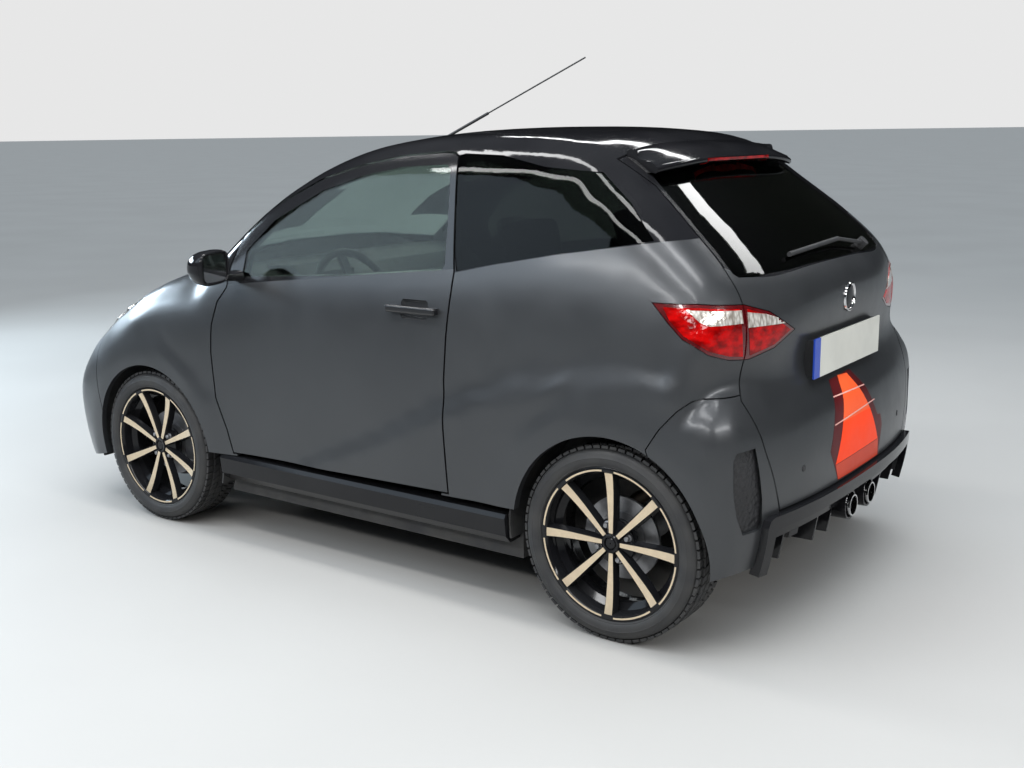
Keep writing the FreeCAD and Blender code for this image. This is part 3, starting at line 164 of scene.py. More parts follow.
def paint(name="satin_grey_paint"):
    finish = toned(name, (0.056, 0.0585, 0.062), (0.062, 0.0645, 0.068), (2.5,),
                   (0.33, 0.40, 9.0), PAINT_METALLIC, Coat_Weight=0.25, Coat_Roughness=0.16)
    finish.bump(finish.noise(900.0, 2.0), 0.00006, 0.5)
    return finish.bump(finish.noise(18.0, 2.0), 0.0008, 0.12)


def gloss_black():
    finish = toned("gloss_black_lacquer", (0.007, 0.007, 0.008), (0.011, 0.011, 0.012), (4.0,),
                   (0.06, 0.10, 14.0), Specular_IOR_Level=0.24)
    return finish.bump(finish.noise(40.0, 2.0), 0.0004, 0.1)


def moulded_plastic(name="moulded_black_plastic", color=(0.018, 0.018, 0.019)):
    finish = toned(name, color, tuple(1.35 * c for c in color), (12.0,), (0.48, 0.62, 30.0))
    return finish.bump(finish.cells(1400.0), 0.00012, 0.6)


def window(name, color, bend):
    finish = toned(name, color, tuple(0.94 * c for c in color), (1.5,), (0.012, 0.03, 5.0),
                   Transmission_Weight=1.0, IOR=bend)
    return finish.bump(finish.noise(2.2, 1.0), 0.0006, 0.15)


def machined():
    finish = toned("machined_alloy", (0.74, 0.60, 0.42), (0.68, 0.55, 0.385), (60.0,),
                   (0.30, 0.42, 220.0), 0.75, Coat_Weight=0.4, Coat_Roughness=0.15)
    return finish.bump(finish.noise(2400.0, 1.0), 0.00004, 0.6)


def bare_steel(name="satin_steel", color=(0.30, 0.30, 0.31), low=0.35, high=0.5):
    finish = toned(name, color, tuple(0.75 * c for c in color), (35.0,), (low, high, 60.0), 0.9)
    return finish.bump(finish.noise(500.0, 3.0), 0.00012, 0.4)


def underside():
    finish = toned("underbody_wax", (0.024, 0.024, 0.026), (0.045, 0.043, 0.04), (7.0, 5.0),
                   (0.6, 0.8, 25.0))
    return finish.bump(finish.noise(160.0, 4.0), 0.0008, 0.5)


def rubber():
    finish = toned("tyre_rubber", (0.017, 0.017, 0.018), (0.03, 0.029, 0.028), (20.0, 4.0),
                   (0.55, 0.75, 40.0))
    return finish.bump(finish.noise(700.0, 2.0), 0.0002, 0.4)


def seat_cloth(name, low, high, pitch):
    """Cloth of crossing threads, with pitch radians a metre."""
    finish = Finish(name, low, 0.85, 0.0, Sheen_Weight=0.3)
    warp = finish.math("SINE", finish.math("MULTIPLY", finish.along((1, 0, 0)), pitch))
    weft = finish.math("SINE", finish.math("MULTIPLY", finish.along((0, 1, 0.4)), pitch))
    weave = finish.math("MULTIPLY", warp, weft)
    finish.set("Base Color", finish.mix(finish.fit(weave, -1.0, 1.0), low, high))
    return finish.bump(weave, 0.0004, 0.6)


def chrome(name="polished_chrome"):
    finish = toned(name, (0.74, 0.74, 0.76), (0.62, 0.61, 0.60), (12.0,), (0.05, 0.14, 30.0), 1.0)
    return finish.bump(finish.noise(120.0, 2.0), 0.0001, 0.15)


def feeding(finish, key):
    """What feeds a socket of the finish's shader now."""
    return finish.shader.inputs[key].links[0].from_socket


def blackened(name, share):
    """Body paint that turns gloss black where share(finish) is one."""
    finish = paint(name)
    black = share(finish)
    finish.set("Base Color", finish.mix(black, feeding(finish, "Base Color"), GLOSS_COLOR))
    finish.set("Metallic", finish.fit(black, 0.0, 1.0, PAINT_METALLIC, 0.0))
    mixed = finish.node("Mix", data_type="FLOAT")
    finish.plug(mixed.inputs[0], black)
    finish.plug(mixed.inputs[2], feeding(finish, "Roughness"))
    mixed.inputs[3].default_value = GLOSS_ROUGHNESS
    return finish.set("Roughness", mixed.outputs[0])


def door_black(finish):
    """The window frame above the waist, and the grip of the handle."""
    x, z = finish.along((1, 0, 0)), finish.along((0, 0, 1))
    y = finish.math("ABSOLUTE", finish.along((0, 1, 0)))
    waist = finish.math("MULTIPLY_ADD", x, WAIST_SLOPE, WAIST_Z)
    above_waist = finish.fit(finish.math("SUBTRACT", z, waist), -EDGE, EDGE)
    beside = finish.math("ABSOLUTE", finish.math("SUBTRACT", x, HANDLE_X))
    above = finish.math("ABSOLUTE", finish.math("SUBTRACT", z, HANDLE_Z))
    grip = finish.math("MULTIPLY", finish.math("LESS_THAN", beside, GRIP_HALF_LENGTH),
                       finish.math("LESS_THAN", above, GRIP_HALF_HEIGHT))
    grip = finish.math("MULTIPLY", grip, finish.math("GREATER_THAN", y, HANDLE_Y))
    return finish.math("MAXIMUM", above_waist, grip)


def gate_black(finish):
    """The tailgate round its glass. The border runs level, then rises at the glass's corners."""
    along = finish.math("ADD", finish.along((1, 0, 0)), finish.along((0, 0, 1)))
    beside = finish.math("DIVIDE", finish.math("ABSOLUTE", finish.along((0, 1, 0))),
                         GATE_HALF_WIDTH)
    border = finish.math("MULTIPLY_ADD", finish.math("POWER", beside, 7.0), 0.072, -0.376)
    return finish.fit(finish.math("SUBTRACT", along, border), -EDGE, EDGE)


def plate_finish():
    """White sheet with a blank blue end band, and the black holder behind it."""
    finish = toned("plate_white", (0.56, 0.55, 0.49), (0.50, 0.49, 0.44), (9.0,),
                   (0.3, 0.42, 20.0), Coat_Weight=0.3, Coat_Roughness=0.2)
    finish.bump(finish.cells(1500.0), 0.00005, 0.4)
    band = finish.fit(finish.along((0, 1, 0)), 0.2180, 0.2186)
    color = finish.mix(band, feeding(finish, "Base Color"), (0.012, 0.05, 0.36))
    holder = finish.fit(finish.along((1, 0, 0)), -1.4272, -1.4268)
    return finish.set("Base Color", finish.mix(holder, color, (0.012, 0.012, 0.013)))


def exhaust_finish():
    """Polished tips, and dull heated steel ahead of them."""
    finish = chrome("exhaust_chrome_and_steel")
    ahead = finish.fit(finish.along((1, 0, 0)), -1.425, -1.415)
    rust = finish.tint((0.16, 0.13, 0.11), (0.08, 0.07, 0.065), 25.0, 5.0)
    finish.set("Base Color", finish.mix(ahead, feeding(finish, "Base Color"), rust))
    return finish.set("Roughness", finish.fit(ahead, 0.0, 1.0, 0.09, 0.55))


def lamp_red():
    """Red cover with brighter fields and fine facets."""
    finish = Finish("red_lens", (0.30, 0.004, 0.005), 0.12, 0.0, Specular_IOR_Level=0.3)
    glow = finish.fit(finish.noise(26.0, 2.0, (1.0, 1.0, 1.8)), 0.35, 0.62)
    facets = finish.fit(finish.cells(140.0), 0.0, 0.8, 0.75, 1.0)
    red = finish.mix(glow, (0.13, 0.001, 0.001), (0.42, 0.002, 0.002))
    finish.set("Base Color", finish.mix(facets, (0.13, 0.001, 0.002), red))
    finish.rough(0.08, 0.16, 20.0)
    return finish.bump(finish.cells(90.0), 0.002, 0.25)


def lamp_white():
    """Clear cover over a bright reflector of small facets."""
    finish = Finish("lamp_clear_lens", (0.75, 0.72, 0.66), 0.12, 0.35, Coat_Weight=1.0)
    facets = finish.fit(finish.cells(120.0, finish.scaled((1, 1, 0.4))), 0.1, 0.75)
    finish.set("Base Color", finish.mix(facets, (0.82, 0.78, 0.71), (0.30, 0.26, 0.22)))
    return finish.bump(finish.cells(150.0), 0.0015, 0.3)


def headlamp_cover():
    """Smoked cover over the reflector's ribs."""
    finish = Finish("clear_lens", (0.16, 0.165, 0.17), 0.1, 0.5, Coat_Weight=1.0,
                    Coat_Roughness=0.03)
    ribs = finish.math("SINE", finish.math("MULTIPLY", finish.along((0.7, 0.0, 0.7)), 900.0))
    finish.set("Base Color", finish.mix(finish.fit(ribs, -1.0, 1.0), (0.10, 0.105, 0.11),
                                        (0.26, 0.265, 0.27)))
    finish.rough(0.06, 0.16, 25.0)
    return finish.bump(ribs, 0.0006, 0.3)


def lamp_edge():
    finish = Finish("lamp_edge_dark_red", (0.10, 0.004, 0.006), 0.18, 0.0, Coat_Weight=0.8)
    finish.set("Base Color", finish.tint((0.10, 0.004, 0.006), (0.06, 0.003, 0.004), 30.0))
    return finish.bump(finish.noise(80.0, 2.0), 0.0006, 0.2)


def stripe_film(name, color, other):
    finish = toned("stripe_" + name, color, other, (6.0,), (0.28, 0.36, 20.0),
                   Specular_IOR_Level=0.1)
    return finish.bump(finish.noise(600.0, 2.0), 0.00004, 0.4)


PAINT = paint()
BLACK = gloss_black()
PLASTIC = moulded_plastic()
CLEAR = window("door_glass_green", (0.56, 0.65, 0.60), 1.3)
DARK = window("privacy_glass", (0.035, 0.04, 0.034), 1.25)
MACHINED = machined()
STEEL = bare_steel()
IRON = bare_steel("cast_iron", (0.12, 0.12, 0.125), 0.55, 0.7)
UNDER = underside()
RUBBER = rubber()
CLOTH = seat_cloth("seat_weave", (0.028, 0.029, 0.032), (0.05, 0.051, 0.056), 2600.0)
TRIM = seat_cloth("seat_side_weave", (0.016, 0.0165, 0.018), (0.028, 0.029, 0.031), 1900.0)
CHROME = chrome()
RED = lamp_red()
LAMP_WHITE = lamp_white()
LENS = headlamp_cover()
LAMP_EDGE = lamp_edge()
DOOR = blackened("door_paint_and_black", door_black)
GATE = blackened("tailgate_paint_and_black", gate_black)
PLATE = plate_finish()
EXHAUST = exhaust_finish()
STRIPE_DARK = stripe_film("dark_red", (0.085, 0.010, 0.011), (0.060, 0.008, 0.009))
STRIPE_ORANGE = stripe_film("orange", (0.80, 0.105, 0.03), (0.76, 0.09, 0.025))
STRIPE_BRIGHT = stripe_film("bright_orange", (0.90, 0.050, 0.002), (0.86, 0.046, 0.003))
STRIPE_LOW = stripe_film("brick_red", (0.50, 0.05, 0.02), (0.46, 0.045, 0.02))
STRIPE_LINE = stripe_film("pale_line", (0.66, 0.36, 0.30), (0.56, 0.28, 0.24))

# What each CAD node wears.
CAD_FINISH = {
    "front_bumper": PAINT, "bonnet": PAINT, "front_wing_left": PAINT, "front_wing_right": PAINT,
    "body_side_left": PAINT, "body_side_right": PAINT, "rear_corners": PAINT,
    "roof": BLACK, "rear_spoiler": BLACK, "rear_diffuser": BLACK, "side_skirt_left": BLACK,
    "side_skirt_right": BLACK, "mirror_left": BLACK, "mirror_right": BLACK,
    "grille": PLASTIC, "dashboard": PLASTIC, "steering_wheel": PLASTIC, "rear_wiper": PLASTIC,
    "antenna": PLASTIC, "windscreen": CLEAR, "door_glass_left": CLEAR, "door_glass_right": CLEAR,
    "quarter_glasses": DARK, "tailgate_glass": DARK, "tail_lamps": LAMP_EDGE,
    "tailgate_lamps": LAMP_EDGE, "headlamps": LENS, "floor_pan": UNDER,
    "front_wheelhouses": UNDER, "rear_wheelhouses": UNDER, "tow_eye": UNDER,
    "door_left": DOOR, "door_right": DOOR, "tailgate": GATE, "front_axle": IRON,
    "rear_axle": IRON, "engine": IRON, "knuckle_left": IRON, "knuckle_right": IRON,
    "seats": CLOTH, "exhaust": EXHAUST, "number_plate": PLATE,
}
for side, sign in SIDES:
    for end in ("front", "rear"):
        CAD_FINISH["tyre_%s_%s" % (end, side)] = RUBBER
        CAD_FINISH["wheel_%s_%s" % (end, side)] = MACHINED
for node, finish in CAD_FINISH.items():
    NODES[node].data.materials.clear()
    NODES[node].data.materials.append(finish.material)

# ---------------------------------------------------------------- making meshes
AXLE_WAY = Vector((0, 1, 0))
MIRROR_Y = Matrix.Scale(-1, 4, AXLE_WAY)


def linked(name, mesh):
    item = bpy.data.objects.new(name, mesh)
    bpy.context.scene.collection.objects.link(item)
    return item


def raw(name, points, faces):
    mesh = bpy.data.meshes.new(name)
    mesh.from_pydata([tuple(p) for p in points], [], faces)
    return linked(name, mesh)


def from_work(name, work):
    """A bmesh, made an object and freed."""
    mesh = bpy.data.meshes.new(name)
    work.to_mesh(mesh)
    work.free()
    return linked(name, mesh)


def joined(items, name):
    """Several meshes as one piece."""
    work = bmesh.new()
    for item in items:
        work.from_mesh(item.data)
        bpy.data.objects.remove(item)
    return from_work(name, work)


def finished(item, finish, body, smooth=40.0):
    """The piece gets its material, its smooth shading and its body."""
    item.data.materials.clear()
    item.data.materials.append(finish.material)
    item.data.polygons.foreach_set("use_smooth", [True] * len(item.data.polygons))
    item.data.set_sharp_from_angle(angle=math.radians(smooth))
    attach(item, body)
    return item


def applied(item):
    """The object's modifiers become part of its mesh."""
    graph = bpy.context.evaluated_depsgraph_get()
    mesh = bpy.data.meshes.new_from_object(item.evaluated_get(graph))
    old = item.data
    item.modifiers.clear()
    item.data = mesh
    bpy.data.meshes.remove(old)
    return item


def outward(item):
    work = bmesh.new()
    work.from_mesh(item.data)
    bmesh.ops.remove_doubles(work, verts=work.verts, dist=1e-6)
    bmesh.ops.recalc_face_normals(work, faces=work.faces)
    work.to_mesh(item.data)
    work.free()
    return item


def to_right(item):
    """What was made for the left side goes to the right."""
    item.data.transform(MIRROR_Y)
    item.data.flip_normals()
    return item


def bands(rows, count):
    """Faces between closed rings of points that follow each other."""
    return [(row * count + k, row * count + (k + 1) % count,
             (row + 1) * count + (k + 1) % count, (row + 1) * count + k)
            for row in range(rows - 1) for k in range(count)]


def skinned(name, rings):
    """A closed skin through rings of points, with a lid on the first and the last."""
    count = len(rings[0])
    points = [point for ring in rings for point in ring]
    lids = [tuple(range(count)), tuple(range(len(points) - count, len(points)))]
    return outward(raw(name, points, bands(len(rings), count) + lids))


def ring_points(profile, count, centre, closed=True):
    """A profile of (radius, offset) turned about the car's Y direction."""
    points, faces = [], []
    rows = len(profile)
    for k in range(count):
        angle = 2 * math.pi * k / count
        for radius, offset in profile:
            points.append((centre[0] + radius * math.cos(angle), centre[1] + offset,
                           centre[2] + radius * math.sin(angle)))
    for k in range(count):
        other = (k + 1) % count
        for row in range(rows if closed else rows - 1):
            following = (row + 1) % rows
            faces.append((k * rows + row, k * rows + following,
                          other * rows + following, other * rows + row))
    return points, faces


def aimed(place, way):
    """The transform that turns the Y direction to another and moves it to a place."""
    return Matrix.Translation(place) @ AXLE_WAY.rotation_difference(way).to_matrix().to_4x4()


def rounded(middle, half, power=6.0, count=40):
    """A superellipse's outline: the higher the power, the squarer."""
    outline = []
    for k in range(count):
        angle = 2 * math.pi * k / count
        outline.append([middle[axis] + half[axis] * math.copysign(abs(part) ** (2 / power), part)
                        for axis, part in enumerate((math.cos(angle), math.sin(angle)))])
    return outline


def ring_tree():
    """Geometry Nodes: the piece is repeated in a ring about Y, then moved to its centre."""
    tree = bpy.data.node_groups.new("ring_about_axle", "GeometryNodeTree")
    for name, way, kind in (("Block", "INPUT", "Geometry"), ("Count", "INPUT", "Int"),
                            ("Centre", "INPUT", "Vector"), ("Finish", "INPUT", "Material"),
                            ("Ring", "OUTPUT", "Geometry")):
        tree.interface.new_socket(name, in_out=way, socket_type="NodeSocket" + kind)
    nodes, links = tree.nodes, tree.links
    source, target = nodes.new("NodeGroupInput"), nodes.new("NodeGroupOutput")
    line = nodes.new("GeometryNodeMeshLine")
    line.inputs["Offset"].default_value = (0, 0, 0)
    index = nodes.new("GeometryNodeInputIndex")
    share = nodes.new("ShaderNodeMath")
    share.operation = "DIVIDE"
    turn = nodes.new("ShaderNodeMath")
    turn.operation = "MULTIPLY"
    turn.inputs[1].default_value = 2 * math.pi
    angle = nodes.new("ShaderNodeCombineXYZ")
    copies = nodes.new("GeometryNodeInstanceOnPoints")
    move = nodes.new("GeometryNodeTransform")
    real = nodes.new("GeometryNodeRealizeInstances")
    color = nodes.new("GeometryNodeSetMaterial")
    links.new(source.outputs["Count"], line.inputs["Count"])
    links.new(index.outputs[0], share.inputs[0])
    links.new(source.outputs["Count"], share.inputs[1])
    links.new(share.outputs[0], turn.inputs[0])
    links.new(turn.outputs[0], angle.inputs["Y"])
    links.new(line.outputs["Mesh"], copies.inputs["Points"])
    links.new(source.outputs["Block"], copies.inputs["Instance"])
    links.new(angle.outputs[0], copies.inputs["Rotation"])
    links.new(copies.outputs[0], move.inputs["Geometry"])
    links.new(source.outputs["Centre"], move.inputs["Translation"])
    links.new(move.outputs[0], real.inputs[0])
    links.new(real.outputs[0], color.inputs["Geometry"])
    links.new(source.outputs["Finish"], color.inputs["Material"])
    links.new(color.outputs[0], target.inputs[0])
    return tree


RING = ring_tree()


def ringed(item, count, centre, finish):
    """The item, count times about the axle."""
    modifier = item.modifiers.new("ring", "NODES")
    modifier.node_group = RING
    values = {"Count": count, "Centre": centre, "Finish": finish.material}
    for socket in RING.interface.items_tree:
        if socket.item_type == "SOCKET" and socket.name in values:
            modifier[socket.identifier] = values[socket.name]
    return applied(item)


# ---------------------------------------------------------------- wheels
RIM_RADIUS = 0.217
SPOKES, BOLTS, BOLT_CIRCLE = 8, 4, 0.050
HALF_SPOKE = math.pi / SPOKES
SPOKE_START = 0.03
LIP_SECTION = [(0.2062, 0.0720), (0.2062, 0.0741), (0.2110, 0.0746), (0.2110, 0.0722)]
# (radius, height) rows of a bolt: its round washer, then the narrower hexagon.
BOLT_ROWS = [(0.0115, 0.040), (0.0115, 0.0440), (0.0095, 0.0455), (0.0078, 0.0455),
             (0.0078, 0.0530), (0.0064, 0.0545), (0.0, 0.0545)]
HEXAGON_BELOW = 0.008
TREAD_BASE = 0.2690
RIM_PROFILE = [
    (0.2170, 0.0655), (0.2170, 0.0728), (0.2140, 0.0742), (0.2050, 0.0738), (0.2015, 0.0700),
    (0.1985, 0.0600), (0.1960, 0.0350), (0.1780, 0.0240), (0.1760, -0.0100), (0.1860, -0.0250),
    (0.1900, -0.0600), (0.1960, -0.0690), (0.2050, -0.0730), (0.2170, -0.0728),
    (0.2170, -0.0660), (0.2060, -0.0650), (0.2035, -0.0500), (0.2000, -0.0250),
    (0.1860, -0.0100), (0.1860, 0.0150), (0.2000, 0.0400), (0.2035, 0.0550), (0.2060, 0.0650),
]
HUB_PROFILE = [
    (0.0020, 0.0590), (0.0140, 0.0590), (0.0158, 0.0572), (0.0158, 0.0530), (0.0178, 0.0530),
    (0.0192, 0.0600), (0.0240, 0.0610), (0.0262, 0.0596), (0.0290, 0.0500), (0.0420, 0.0440),
    (0.0640, 0.0400), (0.0660, 0.0360), (0.0640, 0.0180), (0.0560, 0.0080), (0.0540, -0.0170),
    (0.0160, -0.0170), (0.0020, 0.0200),
]
DISC_PROFILE = [(0.0560, -0.0120), (0.1180, -0.0120), (0.1180, -0.0085), (0.1120, -0.0085),
                (0.1120, -0.0055), (0.1180, -0.0055), (0.1180, -0.0020), (0.0760, -0.0020),
                (0.0740, 0.0040), (0.0560, 0.0040)]
TYRE_PROFILE = [
    (0.2160, 0.0650), (0.2185, 0.0745), (0.2215, 0.0775), (0.2235, 0.0772), (0.2255, 0.0790),
    (0.2330, 0.0812), (0.2400, 0.0821), (0.2425, 0.0819), (0.2432, 0.0824), (0.2446, 0.0824),
    (0.2453, 0.0818), (0.2540, 0.0802), (0.2610, 0.0765), (0.2655, 0.0715), (0.2680, 0.0650),
    (0.2690, 0.0560), (0.2692, 0.0300), (0.2692, 0.0000),
]
# Blocks of the tread: from y, to y, length, lean, top radius, worn edges, count.
TREAD = [
    (0.0455, 0.0700, 0.0205, 0.10, 0.2768, (0.0030, 0.0000), 66),
    (-0.0700, -0.0455, 0.0205, -0.10, 0.2768, (0.0000, 0.0030), 66),
    (0.0165, 0.0405, 0.0225, 0.45, TYRE_RADIUS, (0.0, 0.0), 66),
    (-0.0405, -0.0165, 0.0225, -0.45, TYRE_RADIUS, (0.0, 0.0), 66),
    (-0.0115, 0.0115, 0.0285, 0.0, TYRE_RADIUS, (0.0, 0.0), 60),
]


def spoke_half(radius):
    """Half a spoke's width, which grows outwards."""
    return 0.0065 + 0.0065 * (radius - SPOKE_START) / (RIM_RADIUS - 0.035)


def spoke_face(radius):
    """How far out a spoke's face lies; it rises towards the rim."""
    share = max(0.0, (radius - SPOKE_START) / 0.18)
    return 0.0560 + 0.0030 * share + 0.0130 * share ** 4


def spoke_block(rise, trim, depth, flare, start, end, stations=12):
    """One straight spoke along X, its face towards +Y."""
    rings = []
    for k in range(stations + 1):
        radius = start + (end - start) * k / stations
        half = spoke_half(radius) - trim
        top = spoke_face(radius) + rise
        shoulder, wide = half + 0.35 * flare, half + flare
        rings.append([(radius, y, z) for y, z in (
            (top, -half), (top, half), (top - 0.25 * depth, shoulder), (top - depth, wide),
            (top - depth, -wide), (top - 0.25 * depth, -shoulder))])
    return skinned("spoke", rings)


def arc_block(steps=14):
    """The thin machined line on the rim's edge between two spokes."""
    low, high = math.radians(5.2), math.radians(39.8)
    angles = [low + (high - low) * k / steps for k in range(steps + 1)]
    return skinned("arc", [[(radius * math.cos(angle), y, -radius * math.sin(angle))
                            for radius, y in LIP_SECTION] for angle in angles])


def bolt_block(sides=12):
    """A hexagon wheel bolt with its round washer, between two spokes."""
    rings = []
    for radius, y in BOLT_ROWS:
        ring = []
        for k in range(sides):
            angle = 2 * math.pi * k / sides
            reach = radius * (0.9 if radius < HEXAGON_BELOW and k % 2 == 0 else 1.0)
            ring.append((BOLT_CIRCLE + reach * math.cos(angle), y, reach * math.sin(angle)))
        rings.append(ring)
    item = skinned("bolt", rings)
    item.data.transform(Matrix.Rotation(HALF_SPOKE, 4, "Y"))
    return item


def tread_block(low, high, length, lean, rise, sag):
    """One rubber block of the tread, with softened upper edges, from y low to y high."""
    middle = (low + high) / 2
    rings = []
    for level, shrink in ((TREAD_BASE, 1.0), (rise - 0.0012, 0.985), (rise, 0.93)):
        ring = []
        for edge, way in ((0, -1), (1, -1), (1, 1), (0, 1)):
            away = (low, high)[edge] - middle
            reach = level - (sag[edge] if level > TREAD_BASE else 0.0)
            along = way * length / 2 * shrink + lean * away
            ring.append((math.sqrt(reach ** 2 - along ** 2), middle + away * shrink, along))
        rings.append(ring)
    return skinned("block", rings)


def make_wheel(end, side, sign):
    tag = "%s_%s" % (end, side)
    centre = (FRONT_AXLE if end == "front" else REAR_AXLE, WHEEL_OFFSET, TYRE_RADIUS)
    half_tyre = [(radius, -y) for radius, y in reversed(TYRE_PROFILE[:-1])]
    tyre = joined([raw("carcass", *ring_points(TYRE_PROFILE + half_tyre, 128, centre))]
                  + [ringed(tread_block(*row[:-1]), row[-1], centre, RUBBER) for row in TREAD],
                  "tread_tyre_" + tag)
    spokes = spoke_block(0.0, -0.0008, 0.022, 0.006, 0.024, 0.2125)
    dark = joined([raw("barrel", *ring_points(RIM_PROFILE, 96, centre)),
                   raw("hub", *ring_points(HUB_PROFILE, 48, centre)),
                   ringed(spokes, SPOKES, centre, BLACK)], "rim_" + tag)
    faces = spoke_block(0.0006, 0.0004, 0.0012, 0.0, 0.0285, 0.2112)
    bright = joined([ringed(faces, SPOKES, centre, MACHINED),
                     ringed(arc_block(), SPOKES, centre, MACHINED)], "rim_face_" + tag)
    bolts = joined([ringed(bolt_block(), BOLTS, centre, STEEL)], "wheel_bolts_" + tag)
    disc = raw("brake_disc_" + tag, *ring_points(DISC_PROFILE, 72, centre))
    # The photo's front wheels stand half a spoke further round than its rear wheels.
    turned = (Matrix.Translation(centre)
              @ Matrix.Rotation(HALF_SPOKE if end == "front" else 0.0, 4, "Y")
              @ Matrix.Translation([-v for v in centre]))
    for item, finish, slot in ((tyre, RUBBER, "tyre"), (dark, BLACK, "black_gloss"),
                               (bright, MACHINED, "alloy"), (bolts, STEEL, "steel"),
                               (disc, STEEL, "steel")):
        outward(item)
        item.data.transform(turned)
        if sign < 0:
            to_right(item)
        finished(item, finish, "wheel_" + tag)
    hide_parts("tyre_" + tag)
    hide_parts("wheel_" + tag)


for end in ("front", "rear"):
    for side, sign in SIDES:
        make_wheel(end, side, sign)

# ---------------------------------------------------------------- skins laid on the body
# Ways of looking at the body: the direction towards the viewer, and the two
# vectors that an outline's numbers count along.
ROOT_HALF = math.sqrt(0.5)
UP = Vector((0, 0, 1))
VIEWS = {
    "rear": (Vector((-1, 0, 0)), Vector((0, 1, 0)), UP),
    "side": (Vector((0, 1, 0)), Vector((1, 0, 0)), UP),
    "corner": (Vector((-ROOT_HALF, ROOT_HALF, 0)), Vector((0.5, 0.5, 0)), UP),
}
FAR = 3.0


def surface_of(node):
    mesh = NODES[node].data
    return BVHTree.FromPolygons([v.co.copy() for v in mesh.vertices],
                                [tuple(p.vertices) for p in mesh.polygons])


def touched(surface, view, u, v):
    """The surface's point and outward direction at (u, v) of a view."""
    axis, first, second = VIEWS[view]
    hit, normal, index, distance = surface.ray_cast(first * u + second * v + axis * FAR, -axis)
    if hit is None:
        return None, None
    return hit, (normal if normal.dot(axis) > 0 else -normal)


def overlay(name, outline, node, finish, body, view="rear", step=0.006, lift=0.0006,
            thick=0.0005, inset=0.0, mirrored=False):
    """A thin skin that follows the body. The outline is convex, and drawn in the view."""
    axis = VIEWS[view][0]
    count = len(outline)
    middle = [sum(p[k] for p in outline) / count for k in (0, 1)]
    low = [min(p[k] for p in outline) - step for k in (0, 1)]
    high = [max(p[k] for p in outline) + step for k in (0, 1)]
    counts = [max(2, int((high[k] - low[k]) / step)) for k in (0, 1)]
    work = bmesh.new()
    grid = [[work.verts.new((low[0] + (high[0] - low[0]) * i / counts[0],
                             low[1] + (high[1] - low[1]) * j / counts[1], 0))
             for j in range(counts[1] + 1)] for i in range(counts[0] + 1)]
    for i in range(counts[0]):
        for j in range(counts[1]):
            work.faces.new((grid[i][j], grid[i + 1][j], grid[i + 1][j + 1], grid[i][j + 1]))
    for k in range(count):
        a, b = outline[k], outline[(k + 1) % count]
        normal = Vector((b[1] - a[1], a[0] - b[0], 0)).normalized()
        if normal.dot(Vector((middle[0] - a[0], middle[1] - a[1], 0))) > 0:
            normal = -normal
        bmesh.ops.bisect_plane(work, geom=work.verts[:] + work.edges[:] + work.faces[:],
                               plane_co=Vector((a[0], a[1], 0)) - normal * inset,
                               plane_no=normal, clear_outer=True)
    surface = surface_of(node)
    lost = []
    for vert in work.verts:
        hit, normal = touched(surface, view, vert.co.x, vert.co.y)
        if hit is None:
            lost.append(vert)
        else:
            vert.co = hit + normal * lift
    if lost:
        bmesh.ops.delete(work, geom=lost, context="VERTS")
    bmesh.ops.recalc_face_normals(work, faces=work.faces)
    total = sum((f.normal for f in work.faces), Vector())
    if total.dot(axis) < 0:
        bmesh.ops.reverse_faces(work, faces=work.faces)
    item = from_work(name, work)
    shell = item.modifiers.new("shell", "SOLIDIFY")
    shell.thickness = thick
    shell.offset = -1.0
    applied(item)
    if mirrored:
        to_right(item)
    return finished(item, finish, body, 30.0)


def turned_on(name, profile, place, way, finish, body, count=48):
    """A (radius, height) profile turned about the direction way at a place."""
    item = raw(name, *ring_points(profile, count, (0, 0, 0), False))
    item.data.transform(aimed(place, way))
    return finished(outward(item), finish, body)


# ---------------------------------------------------------------- lamps at the rear
LAMP_SIDE = [(-0.482, 0.944), (-0.600, 0.945), (-0.780, 0.933), (-0.795, 0.797),
             (-0.720, 0.806), (-0.632, 0.826), (-0.545, 0.865), (-0.505, 0.902)]
LAMP_GATE = [(-0.803, 0.932), (-0.921, 0.906), (-1.050, 0.850), (-0.950, 0.814),
             (-0.817, 0.797)]
CLEAR_SIDE = [(-0.556, 0.936), (-0.783, 0.925), (-0.787, 0.889), (-0.640, 0.892),
              (-0.604, 0.902)]
CLEAR_GATE = [(-0.808, 0.918), (-0.900, 0.906), (-0.980, 0.887), (-1.005, 0.870),
              (-0.808, 0.876)]
for side, sign in SIDES:
    for tag, outline, clear, node, body in (
            ("side", LAMP_SIDE, CLEAR_SIDE, "tail_lamps", "body"),
            ("gate", LAMP_GATE, CLEAR_GATE, "tailgate_lamps", "tailgate")):
        overlay("lamp_red_%s_%s" % (tag, side), outline, node, RED, body, "corner",
                lift=0.0010, thick=0.0012, inset=0.006, mirrored=sign < 0)
        overlay("lamp_clear_%s_%s" % (tag, side), clear, node, LAMP_WHITE, body,
                "corner", lift=0.0022, thick=0.0016, inset=0.0015, mirrored=sign < 0)

